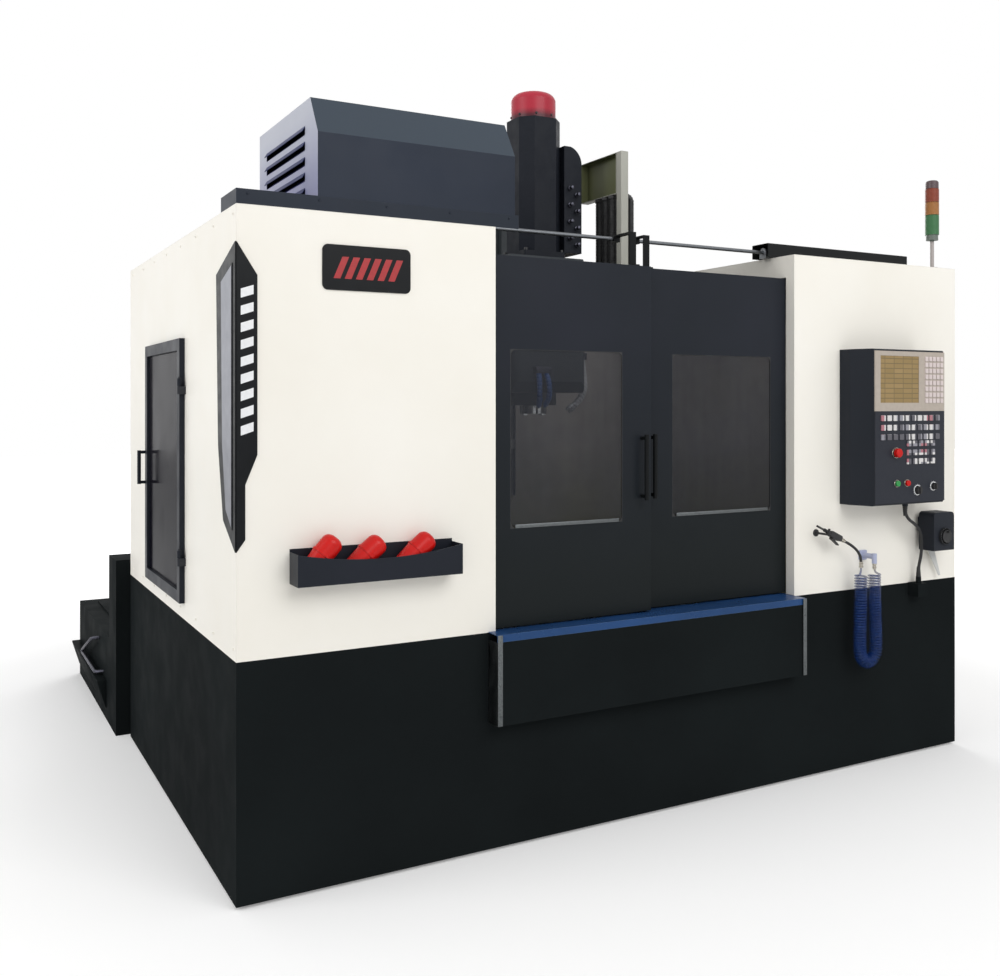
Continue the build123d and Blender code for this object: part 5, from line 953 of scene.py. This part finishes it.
conduits = bmesh.new()
nut = [(0.0, 0), (0.0255, 0), (0.0262, 0.001), (0.0262, 0.015), (0.0255, 0.016), (0.0, 0.016)]
small_nut = [(radius * 0.916, height) for radius, height in nut]
for depth_back in (0.078, 0.134, 0.190):
    foot = (post_x, post_y + depth_back, shelf_top_z)
    turned(conduits, nut, foot, steps=6)
    turned(conduits, nut, (foot[0], foot[1], channel_foot_z - 0.016), steps=6)
    length = channel_foot_z - shelf_top_z - 0.032
    turned(conduits, [(0, 0)] + corrugations(0.021, length) + [(0, length)],
           (foot[0], foot[1], shelf_top_z + 0.016), steps=28)
bend_x, bend_z, bend_radius = post_x + post_half + 0.026, 2.635, 0.024
climb = bend_z - bend_radius - shelf_top_z - 0.016
bent_line = [Vector((bend_x, post_y, shelf_top_z + 0.016 + height))
             for _, height in corrugations(0.016, climb, 0.006)]
bent_radii = [radius for radius, _ in corrugations(0.016, climb, 0.006)]
for step in range(1, 9):
    turn = Matrix.Rotation(-radians(90) * step / 8, 3, "Y")
    bent_line.append(Vector((bend_x - bend_radius, post_y, bend_z - bend_radius))
                     + turn @ Vector((bend_radius, 0, 0)))
    bent_radii.append(0.016 if step % 2 else 0.014)
bent_line.append(Vector((post_x + post_half, post_y, bend_z)))
bent_radii.append(0.016)
tube_along(conduits, bent_line, bent_radii, 20)
turned(conduits, small_nut, (bend_x, post_y, shelf_top_z), steps=6)
post_conduits = make_piece(conduits, "corrugated_conduits", conduit_skin)
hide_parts("cable_conduits")

# Control box, pendant and gun. Die-cast and moulded bodies with a fine dark grey grain; the
# air outlet's elbows are pale nylon.
fine_grain = sprayed_enamel("dark_grey_structured_coat", "#282b32", "#22262c", 0.48, 0.0016,
                            0.00012, "#4b5058", 0.3, 0.12)
coat(fine_grain, "control_box")
pendant_coat = overpaint(fine_grain, "#c9cac8", box=((1.5, -1.70, 0.80), (1.7, -1.60, 0.9635)),
                         name="dark_grey_coat_and_pale_strap")
coat(pendant_coat, "handwheel_box")
black_moulding = rubber("black_moulded_plastic", "#18191b", 0.0008)
coat(black_moulding, "air_gun_trigger", "feed_override_knob", "spindle_override_knob",
     "handwheel_dial")
gun_moulding = overpaint(black_moulding, "#a9afc9",
                         box=((1.035, -1.73, 0.90), (1.20, -1.60, 1.02)),
                         name="black_moulding_and_pale_nylon")
coat(gun_moulding, "air_gun")

# Control fascia. A printed polyester membrane: warm grey round the screen and the key
# block, charcoal below them.
fascia, tree, shader, place = new_finish("printed_polyester_membrane")
upper = inside(tree, place, (1.0, -1.9, 1.615), (1.6, -1.7, 1.9))
grain = add_node(tree, "ShaderNodeTexNoise", None, {"Vector": place, "Scale": 60.0}).outputs["Fac"]
bezel = add_node(tree, "ShaderNodeMix", {"data_type": "RGBA"},
                 {"Factor": grain, "A": "#b8aea3", "B": "#a99f95"}).outputs["Result"]
printed = add_node(tree, "ShaderNodeMix", {"data_type": "RGBA"},
                   {"Factor": upper, "A": "#282b33", "B": bezel}).outputs["Result"]
feed(shader, {"Base Color": printed, "Specular IOR Level": 0.2,
              "Roughness": rough_patches(tree, place, 40.0, 0.35, 0.5)})
coat(fascia, "control_fascia")

# Screen. A backlit panel behind glass, with plain rows of ochre cells and no words.
display, tree, shader, place = new_finish("backlit_display")
upright = add_node(tree, "ShaderNodeMapping", None,
                   {"Vector": place, "Rotation": (radians(90), 0, 0)}).outputs["Vector"]
rows = add_node(tree, "ShaderNodeTexBrick", {"offset": 0.0, "squash": 1.0},
                {"Vector": upright, "Scale": 1.0, "Color1": "#947d55", "Color2": "#89744c",
                 "Mortar": "#6e6045", "Mortar Size": 0.0018, "Brick Width": 0.058,
                 "Row Height": 0.022}).outputs["Color"]
feed(shader, {"Base Color": rows, "Emission Color": rows, "Emission Strength": 0.1,
              "Roughness": 0.2, "Specular IOR Level": 0.2})
coat(display, "control_screen")

# Keys. Moulded keycaps in pale pinkish grey beside the screen; below it they are white,
# grey, charcoal and a few dusty pink, in no order that says anything.
keycaps, tree, shader, place = new_finish("moulded_keycaps")
cell = add_node(tree, "ShaderNodeVectorMath", {"operation": "SNAP"},
                {0: place, 1: (0.039, 1.0, 0.042)})
chance = add_node(tree, "ShaderNodeTexWhiteNoise", None, {"Vector": cell.outputs["Vector"]})
key_bands = add_node(tree, "ShaderNodeValToRGB", None, {"Fac": chance.outputs["Value"]})
mixed_keys = plain_bands(key_bands, "#d3d1d0", (0.4, "#8b8a92"), (0.66, "#a86f78"),
                         (0.76, "#56555c"))
upper = inside(tree, place, (1.3, -1.9, 1.62), (1.6, -1.7, 1.9))
key_tones = add_node(tree, "ShaderNodeMix", {"data_type": "RGBA"},
                     {"Factor": upper, "A": mixed_keys, "B": "#d2c6c4"}).outputs["Result"]
feed(shader, {"Base Color": key_tones, "Roughness": 0.42})
coat(keycaps, "control_keys")

# Control rings. Printed white scales round the two override knobs, with plain ticks, and
# turned collars round the three buttons.
fascia_y = -1.801


def scale_ring(bm, centre, inner, outer, ticks, first, last):
    """A thin printed ring on an upright face, with ticks outside it."""
    turned(bm, [(inner, 0), (outer, 0), (outer, 0.0006), (inner, 0.0006), (inner, 0)],
           (centre[0], fascia_y + 0.0001, centre[1]), (0, -1, 0), steps=40)
    for n in range(ticks):
        turn = Matrix.Rotation(radians(first + (last - first) * n / (ticks - 1)), 4, "Y")
        block(bm, (-0.0005, -0.0007, outer + 0.0012), (0.0005, 0.0001, outer + 0.0042), 0.0002,
              Matrix.Translation((centre[0], fascia_y, centre[1])) @ turn)


scales = bmesh.new()
scale_ring(scales, (1.3085, 1.260), 0.0195, 0.0235, 13, -135, 135)
scale_ring(scales, (1.4135, 1.274), 0.0165, 0.0205, 11, -135, 135)
make_piece(scales, "knob_scales", white_film)
collars = bmesh.new()
for centre, bore, reach in (((1.1685, 1.430), 0.0214, 0.0248),
                            ((1.1735, 1.294), 0.0140, 0.0172),
                            ((1.2385, 1.294), 0.0140, 0.0172)):
    turned(collars, [(bore, 0), (reach, 0), (reach, 0.002), (reach - 0.0012, 0.0045),
                     (bore, 0.0045), (bore, 0)],
           (centre[0], fascia_y + 0.0001, centre[1]), (0, -1, 0), steps=40)
make_piece(collars, "button_collars", nickel)

# Handwheel. Its rim is a turned aluminium ring with fifty plain divisions, filled black.
dial_x, dial_z, dial_front = 1.5575, 1.032, -1.758
graduations = bmesh.new()
turned(graduations, [(0.0305, 0), (0.0365, 0), (0.0368, -0.0006), (0.0305, -0.0006),
                     (0.0305, 0)], (dial_x, dial_front, dial_z), (0, -1, 0), steps=50)
make_piece(graduations, "dial_ring", anodised, "handwheel")
marks = bmesh.new()
for n in range(50):
    reach = 0.0358 if n % 5 else 0.0362
    foot = 0.0335 if n % 5 else 0.0318
    block(marks, (-0.0003, -0.0004, foot), (0.0003, 0.0002, reach), 0.00008,
          Matrix.Translation((dial_x, dial_front - 0.0001, dial_z))
          @ Matrix.Rotation(2 * pi * n / 50, 4, "Y"))
make_piece(marks, "dial_marks", cable_jacket, "handwheel")

# Cycle start button. The same moulding in green.
green_moulding = speckled("green_moulded_abs", "#2a9a4a", "#1f7f3b", 18.0, 0.28)
coat(green_moulding, "cycle_start_button")

# Electrical cabinet. A bought-in steel cabinet with a textured pale grey powder coat.
cabinet_coat = sprayed_enamel("textured_powder_coat", "#c9cac4", "#bfc0ba", 0.5, 0.002, 0.0002,
                              "#e2e2dd", 0.2)
coat(cabinet_coat, "electrical_cabinet", "cabinet_door")

# Cabinet fittings. Two moulded filter grilles are clipped into the cabinet's door, and the
# main switch is a red rotary handle on a yellow plate.
cabinet_face_y = 0.808
grilles = bmesh.new()
for grille_z in (0.52, 1.66):
    for low_x, high_x, low_z, high_z in ((1.28, 1.52, 0.0, 0.014), (1.28, 1.52, 0.226, 0.24),
                                         (1.28, 1.294, 0.014, 0.226),
                                         (1.506, 1.52, 0.014, 0.226)):
        block(grilles, (low_x, cabinet_face_y - 0.001, grille_z + low_z),
              (high_x, cabinet_face_y + 0.010, grille_z + high_z), 0.002)
    for slat in range(13):
        block(grilles, (-0.107, -0.0012, -0.007), (0.107, 0.0012, 0.007), 0.0008,
              Matrix.Translation((1.40, cabinet_face_y + 0.005, grille_z + 0.024 + 0.016 * slat))
              @ Matrix.Rotation(radians(-38), 4, "X"))
make_piece(grilles, "filter_grilles", black_moulding, "cabinet_door")
switch_plate = bmesh.new()
block(switch_plate, (0.700, cabinet_face_y - 0.001, 1.50),
      (0.765, cabinet_face_y + 0.004, 1.565), 0.002)
turned(switch_plate, [(0, 0), (0.027, 0), (0.027, 0.006), (0.025, 0.008), (0, 0.008)],
       (0.7325, cabinet_face_y + 0.003, 1.5325), (0, 1, 0), steps=40)
yellow_plate = speckled("yellow_moulded_plate", "#d9b32a", "#c49d20", 25.0, 0.4)
make_piece(switch_plate, "main_switch_plate", yellow_plate, "cabinet_door")
switch_handle = bmesh.new()
block(switch_handle, (0.7245, cabinet_face_y + 0.010, 1.5085),
      (0.7405, cabinet_face_y + 0.034, 1.5565), 0.003)
turned(switch_handle, [(0, 0), (0.017, 0), (0.017, 0.006), (0.015, 0.008), (0, 0.008)],
       (0.7325, cabinet_face_y + 0.0105, 1.5325), (0, 1, 0), steps=40)
make_piece(switch_handle, "main_switch_handle", red_moulding, "cabinet_door")

# Floor and light. A plain pale studio: a wide soft lamp above the operator's side, a weaker
# one at the left and one behind, and a white room that the camera sees as plain white.
floor_bm = bmesh.new()
bmesh.ops.create_grid(floor_bm, x_segments=1, y_segments=1, size=30.0)
floor_mesh = bpy.data.meshes.new("studio_floor")
floor_bm.to_mesh(floor_mesh)
floor_bm.free()
studio_floor = bpy.data.objects.new("studio_floor", floor_mesh)
bpy.context.scene.collection.objects.link(studio_floor)
floor_finish, tree, shader, place = new_finish("pale_floor")
away = add_node(tree, "ShaderNodeVectorMath", {"operation": "LENGTH"}, {0: place})
fade = add_node(tree, "ShaderNodeMapRange", None,
                {"Value": away.outputs["Value"], "From Min": 3.0, "From Max": 7.0,
                 "To Min": 0.2, "To Max": 0.9}).outputs["Result"]
lift = add_node(tree, "ShaderNodeMath", {"operation": "MULTIPLY"},
                {0: add_node(tree, "ShaderNodeLightPath").outputs["Is Camera Ray"], 1: fade})
feed(shader, {"Base Color": (0.86, 0.86, 0.86, 1), "Roughness": 1.0, "Specular IOR Level": 0.0,
              "Emission Color": (1, 1, 1, 1), "Emission Strength": lift.outputs["Value"]})
floor_mesh.materials.append(floor_finish)

bpy.context.scene.view_settings.view_transform = "Standard"
room = bpy.data.worlds.new("studio_room")
room.use_nodes = True
bpy.context.scene.world = room
tree = room.node_tree
ray = add_node(tree, "ShaderNodeLightPath")
seen = add_node(tree, "ShaderNodeMath", {"operation": "MAXIMUM"},
                {0: ray.outputs["Is Camera Ray"], 1: ray.outputs["Is Glossy Ray"]})
level = add_node(tree, "ShaderNodeMapRange", None,
                 {"Value": seen.outputs["Value"], "To Min": 0.62, "To Max": 1.0})
feed(tree.nodes["Background"], {"Color": (1, 1, 1, 1), "Strength": level.outputs["Result"]})


def softbox(name, place, aim, size, power):
    """A soft rectangular lamp that points at a place."""
    lamp = bpy.data.lights.new(name, "AREA")
    lamp.shape = "RECTANGLE"
    lamp.size, lamp.size_y = size
    lamp.energy = power
    holder = bpy.data.objects.new(name, lamp)
    holder.location = place
    holder.rotation_euler = (Vector(aim) - Vector(place)).to_track_quat("-Z", "Y").to_euler()
    bpy.context.scene.collection.objects.link(holder)


softbox("front_softbox", (0.5, -7.5, 5.5), (0, 0, 1.2), (6, 4), 240)
softbox("left_softbox", (-7.5, -1.0, 4.5), (0, 0, 1.2), (4, 4), 170)
softbox("rear_softbox", (3.5, 7.5, 5.0), (0, 0, 1.2), (5, 4), 220)
